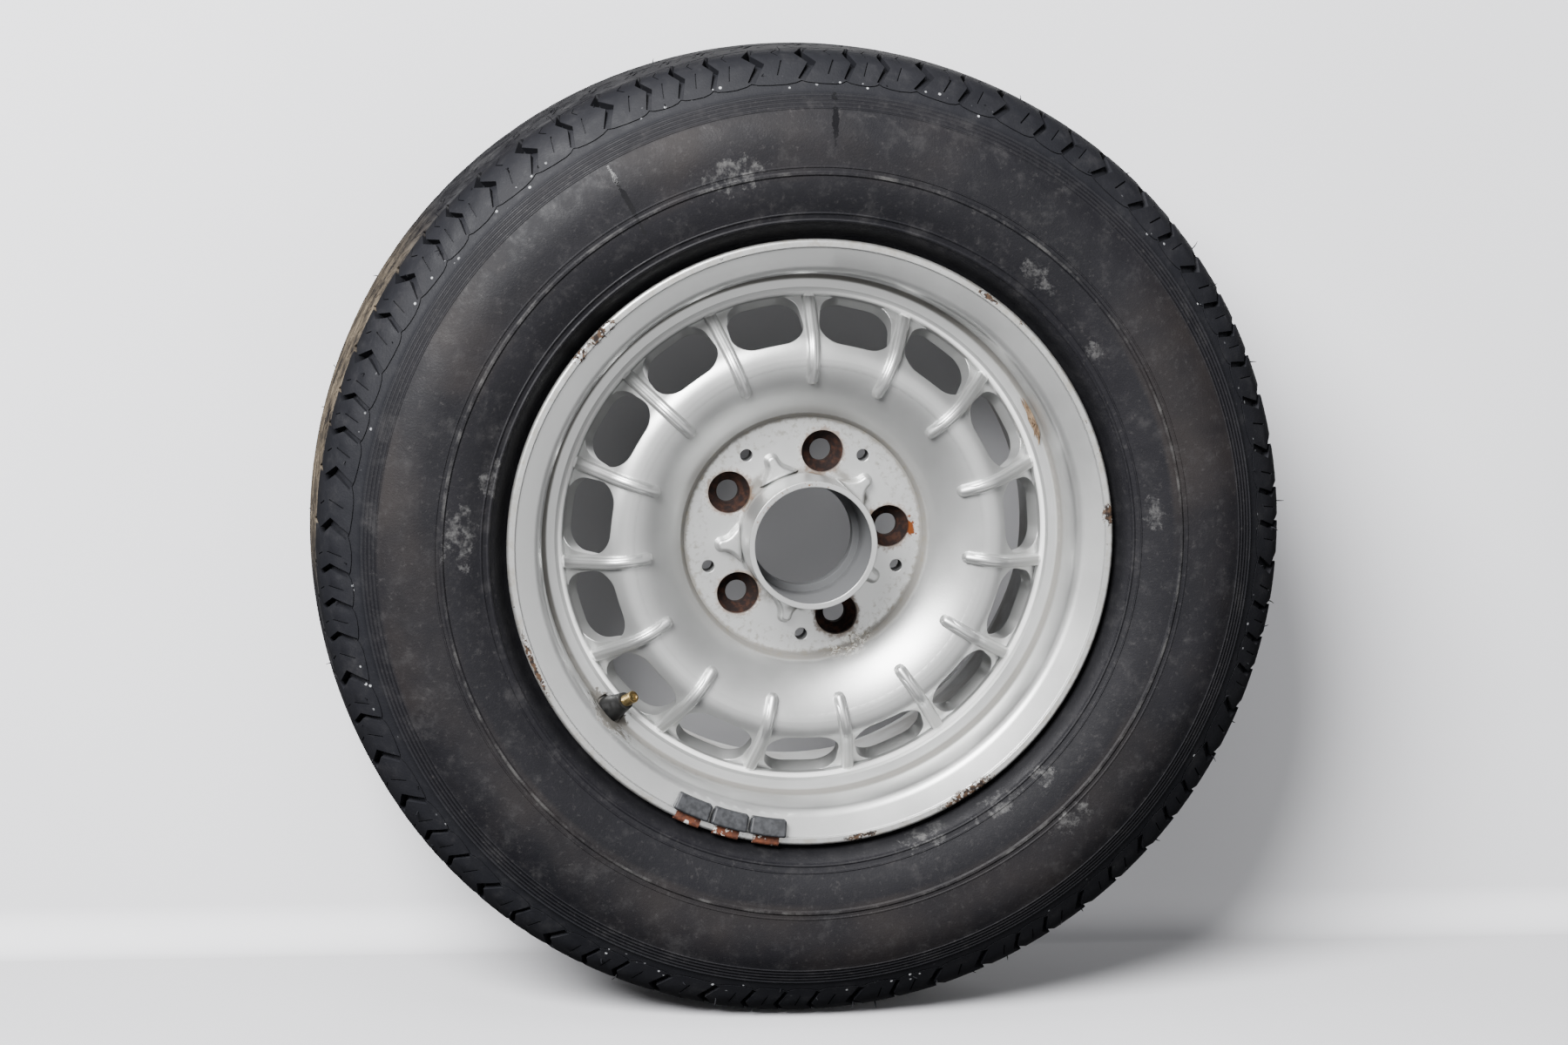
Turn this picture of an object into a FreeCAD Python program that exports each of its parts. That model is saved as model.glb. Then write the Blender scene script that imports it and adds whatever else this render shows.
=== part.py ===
import FreeCAD, Part
import math
import os
import Sketcher

# Alloy road wheel with its tyre, snap-in valve and clip-on balance weights.
# The wheel spins about Y, its outer face looks towards -Y and +Z is up. The origin is the middle of the axle.
# Sizes are millimetres and degrees. Each depth is measured outwards from the middle plane of the rim.

SIZES = {
    # Rim, tyre side
    "bead_seat_radius": 177.4,
    "rim_width": 152.4,
    "flange_height": 17.3,
    "flange_curl_radius": 9.5,
    "flange_overhang": 12.3,
    "flange_edge_radius": 2.0,
    "heel_radius": 6.5,
    "seat_taper": 5.0,
    "seat_length": 19.0,
    "hump_height": 1.2,
    "hump_length": 7.0,
    "hump_blend": 3.0,
    "well_radius": 160.0,
    "well_outer_depth": 36.0,
    "well_inner_depth": -10.0,
    "well_blend": 9.0,
    "well_inner_slope": 25.0,
    # Rim, open side
    "lip_band_width": 4.8,
    "lip_step": 1.4,
    "lip_slant": 0.5,
    "lip_foot_depth": 82.0,
    "cove_radius": 169.6,
    "cove_draft": 3.0,
    "cove_lip_blend": 8.0,
    "cove_foot_blend": 4.0,
    "ledge_depth": 47.6,
    "ledge_rise": 1.0,
    "ledge_inner_radius": 157.2,
    "panel_step": 4.2,
    "panel_draft": 1.2,
    "cone_angle": 45.0,
    "crest_depth": 73.5,
    "crest_outer_blend": 20.0,
    "crest_inner_radius": 110.0,
    "crest_inner_blend": 15.0,
    "bowl_angle": 52.0,
    "bowl_blend": 36.0,
    "floor_depth": 45.0,
    "floor_corner_radius": 3.0,
    "tube_radius": 41.2,
    "tube_depth": 88.2,
    "cap_bore_radius": 37.55,
    "hub_bore_radius": 33.3,
    "hub_bore_length": 10.0,
    "hub_bore_chamfer": 1.5,
    "wheel_offset": 30.0,
    "disc_wall": 9.0,
    "disc_back_blend": 9.0,
    "crest_back_blend": 3.0,
    "barrel_wall": 7.0,
    "barrel_back_depth": -4.0,
    "barrel_flare_depth": -40.0,
    "barrel_flare_radius": 166.6,
    "barrel_blend": 14.0,
    "inner_lip_setback": 3.0,
    "inner_lip_blend": 4.0,
    # Ventilation slots and ribs
    "slot_count": 15,
    "slot_middle_radius": 142.0,
    "slot_width": 47.5,
    "slot_length": 39.0,
    "slot_corner_radius": 14.5,
    "slot_reach": 18.0,
    "rib_base_width": 7.6,
    "rib_edge_radius": 2.2,
    "rib_height": 4.2,
    "rib_sink": 3.0,
    "rib_inner_radius": 103.0,
    "rib_end_radius": 3.4,
    "rib_tail": 2.0,
    # Hub floor
    "lug_count": 5,
    "lug_circle_radius": 56.0,
    "lug_mouth_radius": 13.7,
    "lug_mouth_length": 2.5,
    "lug_seat_length": 6.0,
    "lug_hole_radius": 7.25,
    "pin_hole_radius": 4.0,
    "pin_hole_circle_radius": 64.5,
    "pin_hole_angle": 48.0,
    "fin_tip_radius": 58.5,
    "fin_width": 11.0,
    "fin_root_width": 32.0,
    "fin_flare_length": 9.0,
    "fin_flare_radius": 8.0,
    "fin_tip_blend": 5.0,
    "fin_height": 6.5,
    "fin_draft": 14.0,
    "fin_edge_radius": 2.2,
    # How far the slotted pattern is turned about the axle
    "pattern_turn": 222.2,
    # Tyre
    "tyre_radius": 314.3,
    "tyre_width": 200.6,
    "shoulder_inset": 31.3,
    "shoulder_drop": 3.3,
    "shoulder_radius": 30.0,
    "crown_half_width": 20.0,
    "crown_radius": 500.0,
    "sidewall_low_share": 0.203,
    "sidewall_high_share": 0.564,
    "sidewall_low_ease": 2.6,
    "sidewall_high_ease": 1.2,
    "lining_ease": 0.55,
    "bead_flare_blend": 12.0,
    "bead_edge_rise": 8.8,
    "bead_edge_inset": 7.8,
    "bead_edge_blend": 14.0,
    "bead_clearance": 0.3,
    "bead_width": 18.6,
    "bead_core_rise": 18.6,
    "bead_core_inset": 14.2,
    "bead_core_blend": 30.0,
    "inner_shoulder_blend": 25.0,
    "tread_thickness": 15.0,
    "sidewall_thickness": 8.8,
    # Tread grooves
    "main_groove_width": 6.0,
    "main_groove_place": 17.0,
    "side_groove_width": 2.8,
    "side_groove_place": 47.0,
    "groove_depth": 7.0,
    "groove_headroom": 12.0,
    "small_pitch": 22.5,
    "large_pitch": 34.0,
    "shoulder_groove_width": 4.2,
    "shoulder_groove_swing": 3.0,
    "shoulder_groove_tilt": 24.0,
    "shoulder_groove_length": 38.0,
    "shoulder_groove_sink": 7.6,
    "shoulder_groove_inset": 6.0,
    "first_knee_share": 0.53,
    "second_knee_share": 0.77,
    "groove_share": 0.55,
    # Snap-in valve
    "valve_wall": 4.0,
    "valve_inset": 7.0,
    "valve_hole_radius": 5.75,
    "valve_notch_radius": 10.0,
    "valve_notch_length": 16.0,
    "valve_fit": 0.15,
    "valve_bulb_radius": 9.0,
    "valve_bulb_tail_radius": 6.4,
    "valve_bulb_length": 8.0,
    "valve_foot_radius": 8.4,
    "valve_foot_length": 3.0,
    "valve_neck_radius": 5.6,
    "valve_rubber_length": 18.5,
    "stem_fit": 0.05,
    "stem_radius": 3.0,
    "stem_thread_radius": 3.85,
    "stem_length": 27.5,
    "stem_tail": 11.0,
    "stem_edge": 0.5,
    "core_chamber_radius": 2.55,
    "core_chamber_length": 13.5,
    "core_seat_length": 1.0,
    "stem_bore_radius": 1.95,
    # Valve core
    "core_sink": 1.2,
    "core_plug_radius": 2.45,
    "core_plug_length": 4.0,
    "core_barrel_radius": 1.7,
    "core_barrel_length": 15.0,
    "core_bore_radius": 1.25,
    "core_guide_radius": 0.8,
    "core_guide_length": 1.5,
    "gasket_height": 2.3,
    "pin_radius": 0.5,
    "pin_head_radius": 0.75,
    "pin_head_length": 0.8,
    "pin_sink": 0.9,
    "pin_collar_radius": 1.05,
    "pin_collar_length": 0.6,
    "plunger_radius": 1.6,
    "plunger_length": 0.75,
    "seal_thickness": 0.45,
    "core_gap": 0.05,
    "spring_radius": 0.85,
    "spring_wire_radius": 0.11,
    "spring_length": 7.4,
    "spring_turns": 9,
    # Clip-on balance weights
    "weight_first_turn": 246.3,
    "weight_pitch": 7.9,
    "weight_angle": 7.3,
    "weight_inner_radius": 178.2,
    "weight_outer_radius": 189.2,
    "weight_thickness": 7.4,
    "weight_edge_radius": 1.6,
    "weight_gap": 0.3,
    "clip_angle": 5.0,
    "clip_thickness": 1.0,
    "clip_bend_radius": 1.6,
    "clip_tongue_radius": 182.5,
    "clip_hook_length": 6.6,
    "clip_hook_draft": 0.3,
    "clip_fit": 0.05,
}

doc = FreeCAD.newDocument("alloy_wheel")
sheet = doc.addObject("Spreadsheet::Sheet", "Sizes")
for row, (alias, value) in enumerate(SIZES.items(), start=1):
    sheet.set(f"A{row}", alias)
    sheet.set(f"B{row}", str(value))
    sheet.setAlias(f"B{row}", alias)
doc.recompute()

WEIGHT_COUNT = 3
SPIN = FreeCAD.Vector(0, 1, 0)
CLOSE = 1e-4


def formula(text):
    """Write Sizes. before every size name in a formula."""
    pieces = []
    word = ""
    for letter in f"{text} ":
        if letter.isalnum() or letter == "_":
            word += letter
            continue
        pieces.append(f"Sizes.{word}" if word in SIZES else word)
        pieces.append(letter)
        word = ""
    return "".join(pieces).strip()


def value_of(text):
    """The number that a formula in plain size names gives."""
    return float(sheet.evalExpression(formula(text)))


def bind(feature, path, text):
    """Tie one property of a feature to a formula in plain size names."""
    feature.setExpression(path, formula(text))


# Sketches

def origin_part(body, role):
    """The origin plane or axis of a body that has this role."""
    return next(part for part in body.Origin.OriginFeatures if part.Role == role)


def new_sketch(body, name, plane="XY_Plane"):
    """An empty sketch of the body on one of its origin planes."""
    sketch = body.newObject("Sketcher::SketchObject", name)
    sketch.AttachmentSupport = [(origin_part(body, plane), "")]
    sketch.MapMode = "FlatFace"
    return sketch


def raised_sketch(body, name, depth):
    """A sketch square to the axle at a depth, with X across and Z up."""
    sketch = new_sketch(body, name, "XZ_Plane")
    bind(sketch, "AttachmentOffset.Base.z", depth)
    return sketch


def tilted_sketch(body, name, across, depth, tilt):
    """A sketch whose middle lies at a radius and depth and whose normal leans from +X to -Y by the tilt."""
    sketch = new_sketch(body, name, "YZ_Plane")
    lean = FreeCAD.Rotation(FreeCAD.Vector(0, -1, 0), 1)
    sketch.AttachmentOffset = FreeCAD.Placement(FreeCAD.Vector(), lean)
    bind(sketch, "AttachmentOffset.Base.x", f"-({depth})")
    bind(sketch, "AttachmentOffset.Base.z", across)
    bind(sketch, "AttachmentOffset.Rotation.Angle", tilt)
    return sketch


def pin_point(rules, shape, end, corner, place):
    """Hold one point of a sketch at the place that a corner's two formulas give."""
    for kind, axis, text, value in zip(("DistanceX", "DistanceY"), (-2, -1), corner, place):
        if text == "0":
            rules.append((Sketcher.Constraint("PointOnObject", shape, end, axis), None))
        else:
            rules.append((Sketcher.Constraint(kind, -1, 1, shape, end, value), text))


def arc_between(entry, place, leave, radius):
    """The arc that rounds a corner, and which of its ends is met first."""
    run = place - entry
    turn = run.cross(leave - place).z
    centre = entry + FreeCAD.Vector(-run.y, run.x, 0).normalize() * math.copysign(radius, turn)
    ends = (entry, leave) if turn > 0 else (leave, entry)
    angles = [math.atan2(end.y - centre.y, end.x - centre.x) for end in ends]
    circle = Part.Circle(centre, FreeCAD.Vector(0, 0, 1), radius)
    return Part.ArcOfCircle(circle, *angles), (1, 2) if turn > 0 else (2, 1)


def draw(sketch, corners, closed=True):
    """Draw straight runs between corners, each two formulas and, where it is rounded, a radius formula."""
    count = len(corners)
    places = [FreeCAD.Vector(value_of(c[0]), value_of(c[1]), 0) for c in corners]
    radii = [value_of(c[2]) if len(c) > 2 else 0 for c in corners]
    entries = list(places)
    leaves = list(places)
    for i, radius in enumerate(radii):
        if radius:
            back = (places[i - 1] - places[i]).normalize()
            ahead = (places[(i + 1) % count] - places[i]).normalize()
            reach = radius / math.tan(back.getAngle(ahead) / 2)
            entries[i] = places[i] + back * reach
            leaves[i] = places[i] + ahead * reach
    runs = count if closed else count - 1
    shapes = [Part.LineSegment(leaves[i], entries[(i + 1) % count]) for i in range(runs)]
    guides = []
    rules = []
    for i, corner in enumerate(corners):
        before = (i - 1) % count if closed or i else None
        after = i if i < runs else None
        if radii[i]:
            arc, (first, last) = arc_between(entries[i], places[i], leaves[i], radii[i])
            shapes.append(arc)
            index = len(shapes) - 1
            rules.append((Sketcher.Constraint("Tangent", before, 2, index, first), None))
            rules.append((Sketcher.Constraint("Tangent", index, last, after, 1), None))
            rules.append((Sketcher.Constraint("Radius", index, radii[i]), corner[2]))
            guides.append((i, before, after))
        elif after is None:
            pin_point(rules, before, 2, corner, places[i])
        else:
            pin_point(rules, after, 1, corner, places[i])
            if before is not None:
                rules.append((Sketcher.Constraint("Coincident", before, 2, after, 1), None))
    sketch.addGeometry(shapes, False)
    for i, before, after in guides:
        point = sketch.addGeometry(Part.Point(places[i]), True)
        rules.append((Sketcher.Constraint("PointOnObject", point, 1, before), None))
        rules.append((Sketcher.Constraint("PointOnObject", point, 1, after), None))
        pin_point(rules, point, 1, corners[i], places[i])
    add_rules(sketch, rules)


def add_rules(sketch, rules):
    """Add constraints to a sketch and tie those that have a formula."""
    first = sketch.ConstraintCount
    sketch.addConstraint([rule for rule, text in rules])
    for index, (rule, text) in enumerate(rules, start=first):
        if text:
            bind(sketch, f"Constraints[{index}]", text)


def draw_circle(sketch, across, along, radius):
    """Draw one circle about a point given by formulas."""
    place = FreeCAD.Vector(value_of(across), value_of(along), 0)
    circle = Part.Circle(place, FreeCAD.Vector(0, 0, 1), value_of(radius))
    index = sketch.addGeometry(circle, False)
    rules = [(Sketcher.Constraint("Radius", index, circle.Radius), radius)]
    if place.Length:
        pin_point(rules, index, 3, (across, along), place)
    else:
        rules.append((Sketcher.Constraint("Coincident", index, 3, -1, 1), None))
    add_rules(sketch, rules)


def section(radius, depth, blend=None):
    """A corner of a section through the axle: radius across, depth outwards."""
    places = (radius, f"-({depth})")
    return places + (blend,) if blend else places


# Features

def turn(body, sketch, kind="PartDesign::Revolution", axis="V_Axis", angle=None):
    """Turn a sketch about one of its axes, all the way or half the angle to each side."""
    feature = body.newObject(kind, f"{sketch.Name}_turned")
    feature.Profile = sketch
    feature.ReferenceAxis = (sketch, [axis])
    feature.Angle = 360
    if angle:
        feature.Midplane = True
        bind(feature, "Angle", angle)
    return feature


def push(body, sketch, length, kind="PartDesign::Pocket", reverse=False, both=False):
    """Push a sketch through a length, cutting or adding."""
    feature = body.newObject(kind, f"{sketch.Name}_pushed")
    feature.Profile = sketch
    feature.Reversed = reverse
    feature.Midplane = both
    bind(feature, "Length", length)
    return feature


def repeat(body, features, count, name):
    """Repeat features evenly round the axle."""
    pattern = body.newObject("PartDesign::PolarPattern", name)
    pattern.Originals = features
    pattern.Axis = (origin_part(body, "Y_Axis"), [""])
    pattern.Angle = 360
    bind(pattern, "Occurrences", count)
    body.Tip = pattern
    return pattern


# Rim

FLANGE = "(bead_seat_radius + flange_height)"
FACE = "(rim_width / 2)"
LIP = "(rim_width / 2 + flange_overhang)"
SEAT_END = "(bead_seat_radius - seat_length * tan(seat_taper))"
WELL_EDGE = "(rim_width / 2 - seat_length - hump_length)"
BARREL = "(well_radius - barrel_wall)"
CONE_FOOT = "(ledge_inner_radius - panel_draft)"
PANEL_FOOT = "(ledge_depth - panel_step)"
CREST_OUTER = f"({CONE_FOOT} - (crest_depth - {PANEL_FOOT}) / tan(cone_angle))"
BOWL_FOOT = "(crest_inner_radius - (crest_depth - floor_depth) / tan(bowl_angle))"
WELL_RISE = f"({SEAT_END} - well_radius)"
WELL_RUN = f"({WELL_EDGE} - well_outer_depth)"
VALVE_TILT = f"atan({WELL_RISE} / {WELL_RUN})"
VALVE_RADIUS = f"({SEAT_END} - valve_inset * sin({VALVE_TILT}) - valve_wall * cos({VALVE_TILT}))"
VALVE_DEPTH = f"({WELL_EDGE} - valve_inset * cos({VALVE_TILT}) + valve_wall * sin({VALVE_TILT}))"


def outer_ring():
    """The front half of the barrel: well, outer seat, flange, cove and ledge."""
    hump_edge = f"({FACE} - seat_length)"
    hump_top = f"({FACE} - seat_length - hump_length / 2)"
    return [
        section(BARREL, "0"),
        section("well_radius", "0"),
        section("well_radius", "well_outer_depth", "well_blend"),
        section(SEAT_END, WELL_EDGE),
        section(f"{SEAT_END} + hump_height", hump_top, "hump_blend"),
        section(SEAT_END, hump_edge),
        section("bead_seat_radius", FACE, "heel_radius"),
        section(FLANGE, FACE, "flange_curl_radius"),
        section(FLANGE, LIP, "flange_edge_radius"),
        section(f"{FLANGE} - lip_band_width", LIP),
        section(f"{FLANGE} - lip_band_width - lip_slant", f"{LIP} - lip_step"),
        section("cove_radius + cove_draft", "lip_foot_depth", "cove_lip_blend"),
        section("cove_radius", "ledge_depth + ledge_rise", "cove_foot_blend"),
        section("ledge_inner_radius", "ledge_depth"),
        section(CONE_FOOT, PANEL_FOOT),
        section(BARREL, PANEL_FOOT),
    ]


def inner_ring():
    """The hidden half of the barrel: well, inner seat, flange and flared inside."""
    hump_edge = f"({FACE} - seat_length)"
    hump_top = f"({FACE} - seat_length - hump_length / 2)"
    return [
        section("well_radius", "0"),
        section(BARREL, "0"),
        section(BARREL, "barrel_back_depth", "barrel_blend / 2"),
        section("barrel_flare_radius", "barrel_flare_depth", "barrel_blend"),
        section("cove_radius", f"inner_lip_setback - {FACE}", "disc_back_blend"),
        section(f"{FLANGE} - lip_band_width", f"inner_lip_setback - {LIP}", "inner_lip_blend"),
        section(f"{FLANGE} - lip_band_width + lip_slant", f"-{LIP}"),
        section(FLANGE, f"-{LIP}", "flange_edge_radius"),
        section(FLANGE, f"-{FACE}", "flange_curl_radius"),
        section("bead_seat_radius", f"-{FACE}", "heel_radius"),
        section(SEAT_END, f"-{hump_edge}"),
        section(f"{SEAT_END} + hump_height", f"-{hump_top}", "hump_blend"),
        section(SEAT_END, f"-{WELL_EDGE}"),
        section(SEAT_END, f"well_inner_depth - {WELL_RISE} / tan(well_inner_slope)", "well_blend"),
        section("well_radius", "well_inner_depth", "well_blend"),
    ]


def disc_section():
    """The slotted cone, crest, bowl, hub floor and centre tube."""
    crest_back = "(crest_depth - disc_wall)"
    bowl_shift = "disc_wall / sin(bowl_angle) - (floor_depth - wheel_offset) / tan(bowl_angle)"
    bowl_back = f"({BOWL_FOOT} + {bowl_shift})"
    crest_inner_back = f"({bowl_back} + ({crest_back} - wheel_offset) / tan(bowl_angle))"
    crest_outer_back = f"({CREST_OUTER} - disc_wall / sin(cone_angle) + disc_wall / tan(cone_angle))"
    barrel_front = f"({crest_back} - ({BARREL} - {crest_outer_back}) * tan(cone_angle))"
    root = f"({BARREL} + barrel_wall / 4)"
    root_end = f"({barrel_front} - disc_back_blend)"
    return [
        section(CONE_FOOT, PANEL_FOOT),
        section(CREST_OUTER, "crest_depth", "crest_outer_blend"),
        section("crest_inner_radius", "crest_depth", "crest_inner_blend"),
        section(BOWL_FOOT, "floor_depth", "bowl_blend"),
        section("tube_radius", "floor_depth", "floor_corner_radius"),
        section("tube_radius", "tube_depth"),
        section("cap_bore_radius", "tube_depth"),
        section("cap_bore_radius", "wheel_offset + hub_bore_length"),
        section("hub_bore_radius", "wheel_offset + hub_bore_length"),
        section("hub_bore_radius", "wheel_offset + hub_bore_chamfer"),
        section("hub_bore_radius + hub_bore_chamfer", "wheel_offset"),
        section(bowl_back, "wheel_offset", "disc_back_blend"),
        section(crest_inner_back, crest_back, "crest_back_blend"),
        section(crest_outer_back, crest_back, "crest_back_blend"),
        section(BARREL, barrel_front, "disc_back_blend"),
        section(BARREL, root_end),
        section(root, root_end),
    ]


def rib_line(lift):
    """The line of the bowl, crest and cone under a rib, lifted square to the face."""
    start = "(crest_depth - (crest_inner_radius - rib_inner_radius) * tan(bowl_angle))"
    return [
        (f"-(rib_inner_radius - {lift} * sin(bowl_angle))", f"-({start} + {lift} * cos(bowl_angle))"),
        (f"-(crest_inner_radius - {lift} * tan(bowl_angle / 2))", f"-(crest_depth + {lift})",
         f"crest_inner_blend + {lift}"),
        (f"-({CREST_OUTER} + {lift} * tan(cone_angle / 2))", f"-(crest_depth + {lift})",
         f"crest_outer_blend + {lift}"),
        (f"-({CONE_FOOT} + rib_tail + {lift} * sin(cone_angle))",
         f"-({PANEL_FOOT} - rib_tail * tan(cone_angle) + {lift} * cos(cone_angle))"),
    ]


def make_ribs():
    """Rounded ridges from the bowl over the crest and down the cone, midway between the slots."""
    body = doc.addObject("PartDesign::Body", "rib")
    sketch = new_sketch(body, "rib_profile")
    crown = rib_line("rib_height")
    draw(sketch, crown + rib_line("(-rib_sink)")[::-1])
    pad = push(body, sketch, "rib_base_width", "PartDesign::Pad", both=True)
    doc.recompute()
    inner_end = 2 * len(crown) - 1
    rounded = round_edges(body, pad, beside(sketch, [inner_end]), "rib_end_radius")
    crest = [*range(len(crown) - 1), inner_end + 1, inner_end + 2]
    round_edges(body, rounded, beside(sketch, crest), "rib_edge_radius")
    return copies_round("ribs", body.Shape, "slot_count")


def beside(sketch, lines):
    """A test for points off the plane of a profile that lie over some of its lines."""
    drawn = Part.Compound([sketch.Geometry[line].toShape() for line in lines])

    def over(point):
        return abs(point.z) > CLOSE and drawn.distToShape(Part.Vertex(point.x, point.y, 0))[0] < CLOSE

    return over


def round_edges(body, feature, chosen, radius):
    """Round the edges of a feature whose middles pass a test."""
    names = []
    for number, edge in enumerate(feature.Shape.Edges, start=1):
        if chosen(edge.valueAt((edge.FirstParameter + edge.LastParameter) / 2)):
            names.append(f"Edge{number}")
    fillet = body.newObject("PartDesign::Fillet", f"{feature.Name}_rounded")
    fillet.Base = (feature, names)
    bind(fillet, "Radius", radius)
    doc.recompute()
    return fillet


def copies_round(name, shape, count):
    """Copies of a shape, spaced evenly round the axle."""
    copies = []
    for number in range(round(value_of(count))):
        copies.append(shape.copy())
        copies[-1].rotate(FreeCAD.Vector(), SPIN, number * value_of(f"360 / {count}"))
    feature = doc.addObject("Part::Feature", name)
    feature.Shape = Part.Compound(copies)
    return feature


def add_slots(body):
    """Rounded windows through the cone, square to its face."""
    depth = f"{PANEL_FOOT} + ({CONE_FOOT} - slot_middle_radius) * tan(cone_angle)"
    sketch = tilted_sketch(body, "slot", "slot_middle_radius", depth, "90 - cone_angle")
    half_long = "slot_length / 2"
    half_wide = "slot_width / 2"
    draw(sketch, [
        (f"{x}{half_long}", f"{y}{half_wide}", "slot_corner_radius")
        for x, y in (("-", "-"), ("", "-"), ("", ""), ("-", ""))
    ])
    slot = push(body, sketch, "2 * slot_reach", both=True)
    repeat(body, [slot], "slot_count", "slots")


def add_lug_holes(body):
    """Bolt holes with a mouth, a tapered seat and a plain hole through the hub floor."""
    sketch = new_sketch(body, "lug_hole")
    top = "-(floor_depth + lug_mouth_length)"
    seat = "-(floor_depth - lug_mouth_length)"
    foot = "-(floor_depth - lug_mouth_length - lug_seat_length)"
    end = "-(wheel_offset - lug_mouth_length)"
    draw(sketch, [
        ("lug_circle_radius", top),
        ("lug_circle_radius + lug_mouth_radius", top),
        ("lug_circle_radius + lug_mouth_radius", seat),
        ("lug_circle_radius + lug_hole_radius", foot),
        ("lug_circle_radius + lug_hole_radius", end),
        ("lug_circle_radius", end),
    ])
    hole = body.newObject("PartDesign::Groove", "lug_hole_cut")
    hole.Profile = sketch
    hole.ReferenceAxis = (sketch, ["Edge6"])
    hole.Angle = 360
    return repeat(body, [hole], "lug_count", "lug_holes")


def add_pin_holes(body):
    """Small plain holes through the hub floor."""
    sketch = raised_sketch(body, "pin_hole", "floor_depth + lug_mouth_length")
    draw_circle(sketch, "pin_hole_circle_radius * cos(pin_hole_angle)",
                "pin_hole_circle_radius * sin(pin_hole_angle)", "pin_hole_radius")
    hole = push(body, sketch, "floor_depth - wheel_offset + 2 * lug_mouth_length")
    return repeat(body, [hole], "lug_count", "pin_holes")


def make_fins():
    """Star ridges with a rounded top that stiffen the foot of the centre tube between the bolt holes."""
    body = doc.addObject("PartDesign::Body", "fin")
    sketch = raised_sketch(body, "fin_outline", "floor_depth - floor_corner_radius")
    root = "-(tube_radius - (tube_radius - cap_bore_radius) / 2)"
    neck = "-(tube_radius + fin_flare_length)"
    half_root = "fin_root_width / 2"
    half = "fin_width / 2"
    draw(sketch, [
        (root, f"-{half_root}"),
        (root, half_root),
        (neck, half, "fin_flare_radius"),
        ("-fin_tip_radius", half, "fin_tip_blend"),
        ("-fin_tip_radius", f"-{half}", "fin_tip_blend"),
        (neck, f"-{half}", "fin_flare_radius"),
    ])
    fin = push(body, sketch, "fin_height + floor_corner_radius", "PartDesign::Pad")
    bind(fin, "TaperAngle", "-fin_draft")
    doc.recompute()
    top = value_of("floor_depth + fin_height")
    tube = value_of("tube_radius")
    round_edges(body, fin, lambda point: point.x < -tube and abs(point.y + top) < CLOSE, "fin_edge_radius")
    return copies_round("fins", body.Shape, "lug_count")


def add_valve_hole(body):
    """The valve's hole through the wall of the well, and the notch that clears its foot."""
    for name, radius, length, outwards in (
        ("valve_hole", "valve_hole_radius", "2 * valve_wall", False),
        ("valve_notch", "valve_notch_radius", "valve_notch_length", True),
    ):
        sketch = tilted_sketch(body, name, VALVE_RADIUS, VALVE_DEPTH, f"180 deg - {VALVE_TILT}")
        draw_circle(sketch, "0", "0", radius)
        push(body, sketch, length, reverse=outwards)


def make_rim():
    """One forging: two half rings and the disc, then its windows, holes and ribs."""
    body = doc.addObject("PartDesign::Body", "rim_blank")
    sections = {"outer_ring": outer_ring(), "inner_ring": inner_ring(), "disc": disc_section()}
    for name, corners in sections.items():
        sketch = new_sketch(body, name)
        draw(sketch, corners)
        turn(body, sketch)
        doc.recompute()
    for step in (add_slots, add_lug_holes, add_pin_holes, add_valve_hole):
        step(body)
        doc.recompute()
    rim = doc.addObject("Part::MultiFuse", "rim")
    rim.Shapes = [body, make_ribs(), make_fins()]
    doc.recompute()
    rim.Placement = FreeCAD.Placement(FreeCAD.Vector(), about_axle("pattern_turn"))
    return rim


def about_axle(bearing):
    """The turn that carries the +X direction to a bearing, counted from +X to +Z."""
    return FreeCAD.Rotation(SPIN, -value_of(bearing))


# Tyre

WALL = "(tyre_width / 2)"
TREAD_EDGE = "(tyre_width / 2 - shoulder_inset)"
BEAD_EDGE = f"({FLANGE} + bead_edge_rise)"
SIDEWALL_LOW = f"({BEAD_EDGE} + sidewall_low_share * (tyre_radius - {BEAD_EDGE}))"
SIDEWALL_HIGH = f"({BEAD_EDGE} + sidewall_high_share * (tyre_radius - {BEAD_EDGE}))"
CAVITY = "(tyre_radius - tread_thickness)"
# The order of small and large blocks round the tread
PITCH_ORDER = "SSLLSSSLSLLSSLSL"
PITCH_COUNT = 72


def tyre_half(sign):
    """Half the tyre's section, from the middle of the tread over the sidewall to the bead and back inside."""
    heel = f"({FACE} - bead_clearance)"
    lining = f"({WALL} - sidewall_thickness)"
    lining_blend = f"lining_ease * ({SIDEWALL_HIGH} - {SIDEWALL_LOW})"
    toe = "bead_seat_radius - bead_width * tan(seat_taper) + bead_clearance"
    return [section(radius, f"{sign}{depth}", *blend) for radius, depth, *blend in (
        ("tyre_radius", "0"),
        ("tyre_radius", "crown_half_width", "crown_radius"),
        ("tyre_radius - shoulder_drop", TREAD_EDGE, "shoulder_radius"),
        (SIDEWALL_HIGH, WALL, f"sidewall_high_ease * ({SIDEWALL_HIGH} - {SIDEWALL_LOW})"),
        (SIDEWALL_LOW, WALL, f"sidewall_low_ease * ({SIDEWALL_LOW} - {BEAD_EDGE})"),
        (BEAD_EDGE, f"({WALL} - bead_edge_inset)", "bead_edge_blend"),
        (FLANGE, heel, "bead_flare_blend"),
        ("bead_seat_radius + bead_clearance", heel, "heel_radius + bead_clearance"),
        (toe, f"({FACE} - bead_width)"),
        ("bead_seat_radius + bead_core_rise", f"({FACE} - bead_core_inset)", "bead_core_blend"),
        (SIDEWALL_LOW, lining, lining_blend),
        (SIDEWALL_HIGH, lining, lining_blend),
        (CAVITY, f"({TREAD_EDGE} - tread_thickness / 4)", "inner_shoulder_blend"),
        (CAVITY, "0"),
    )]


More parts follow.
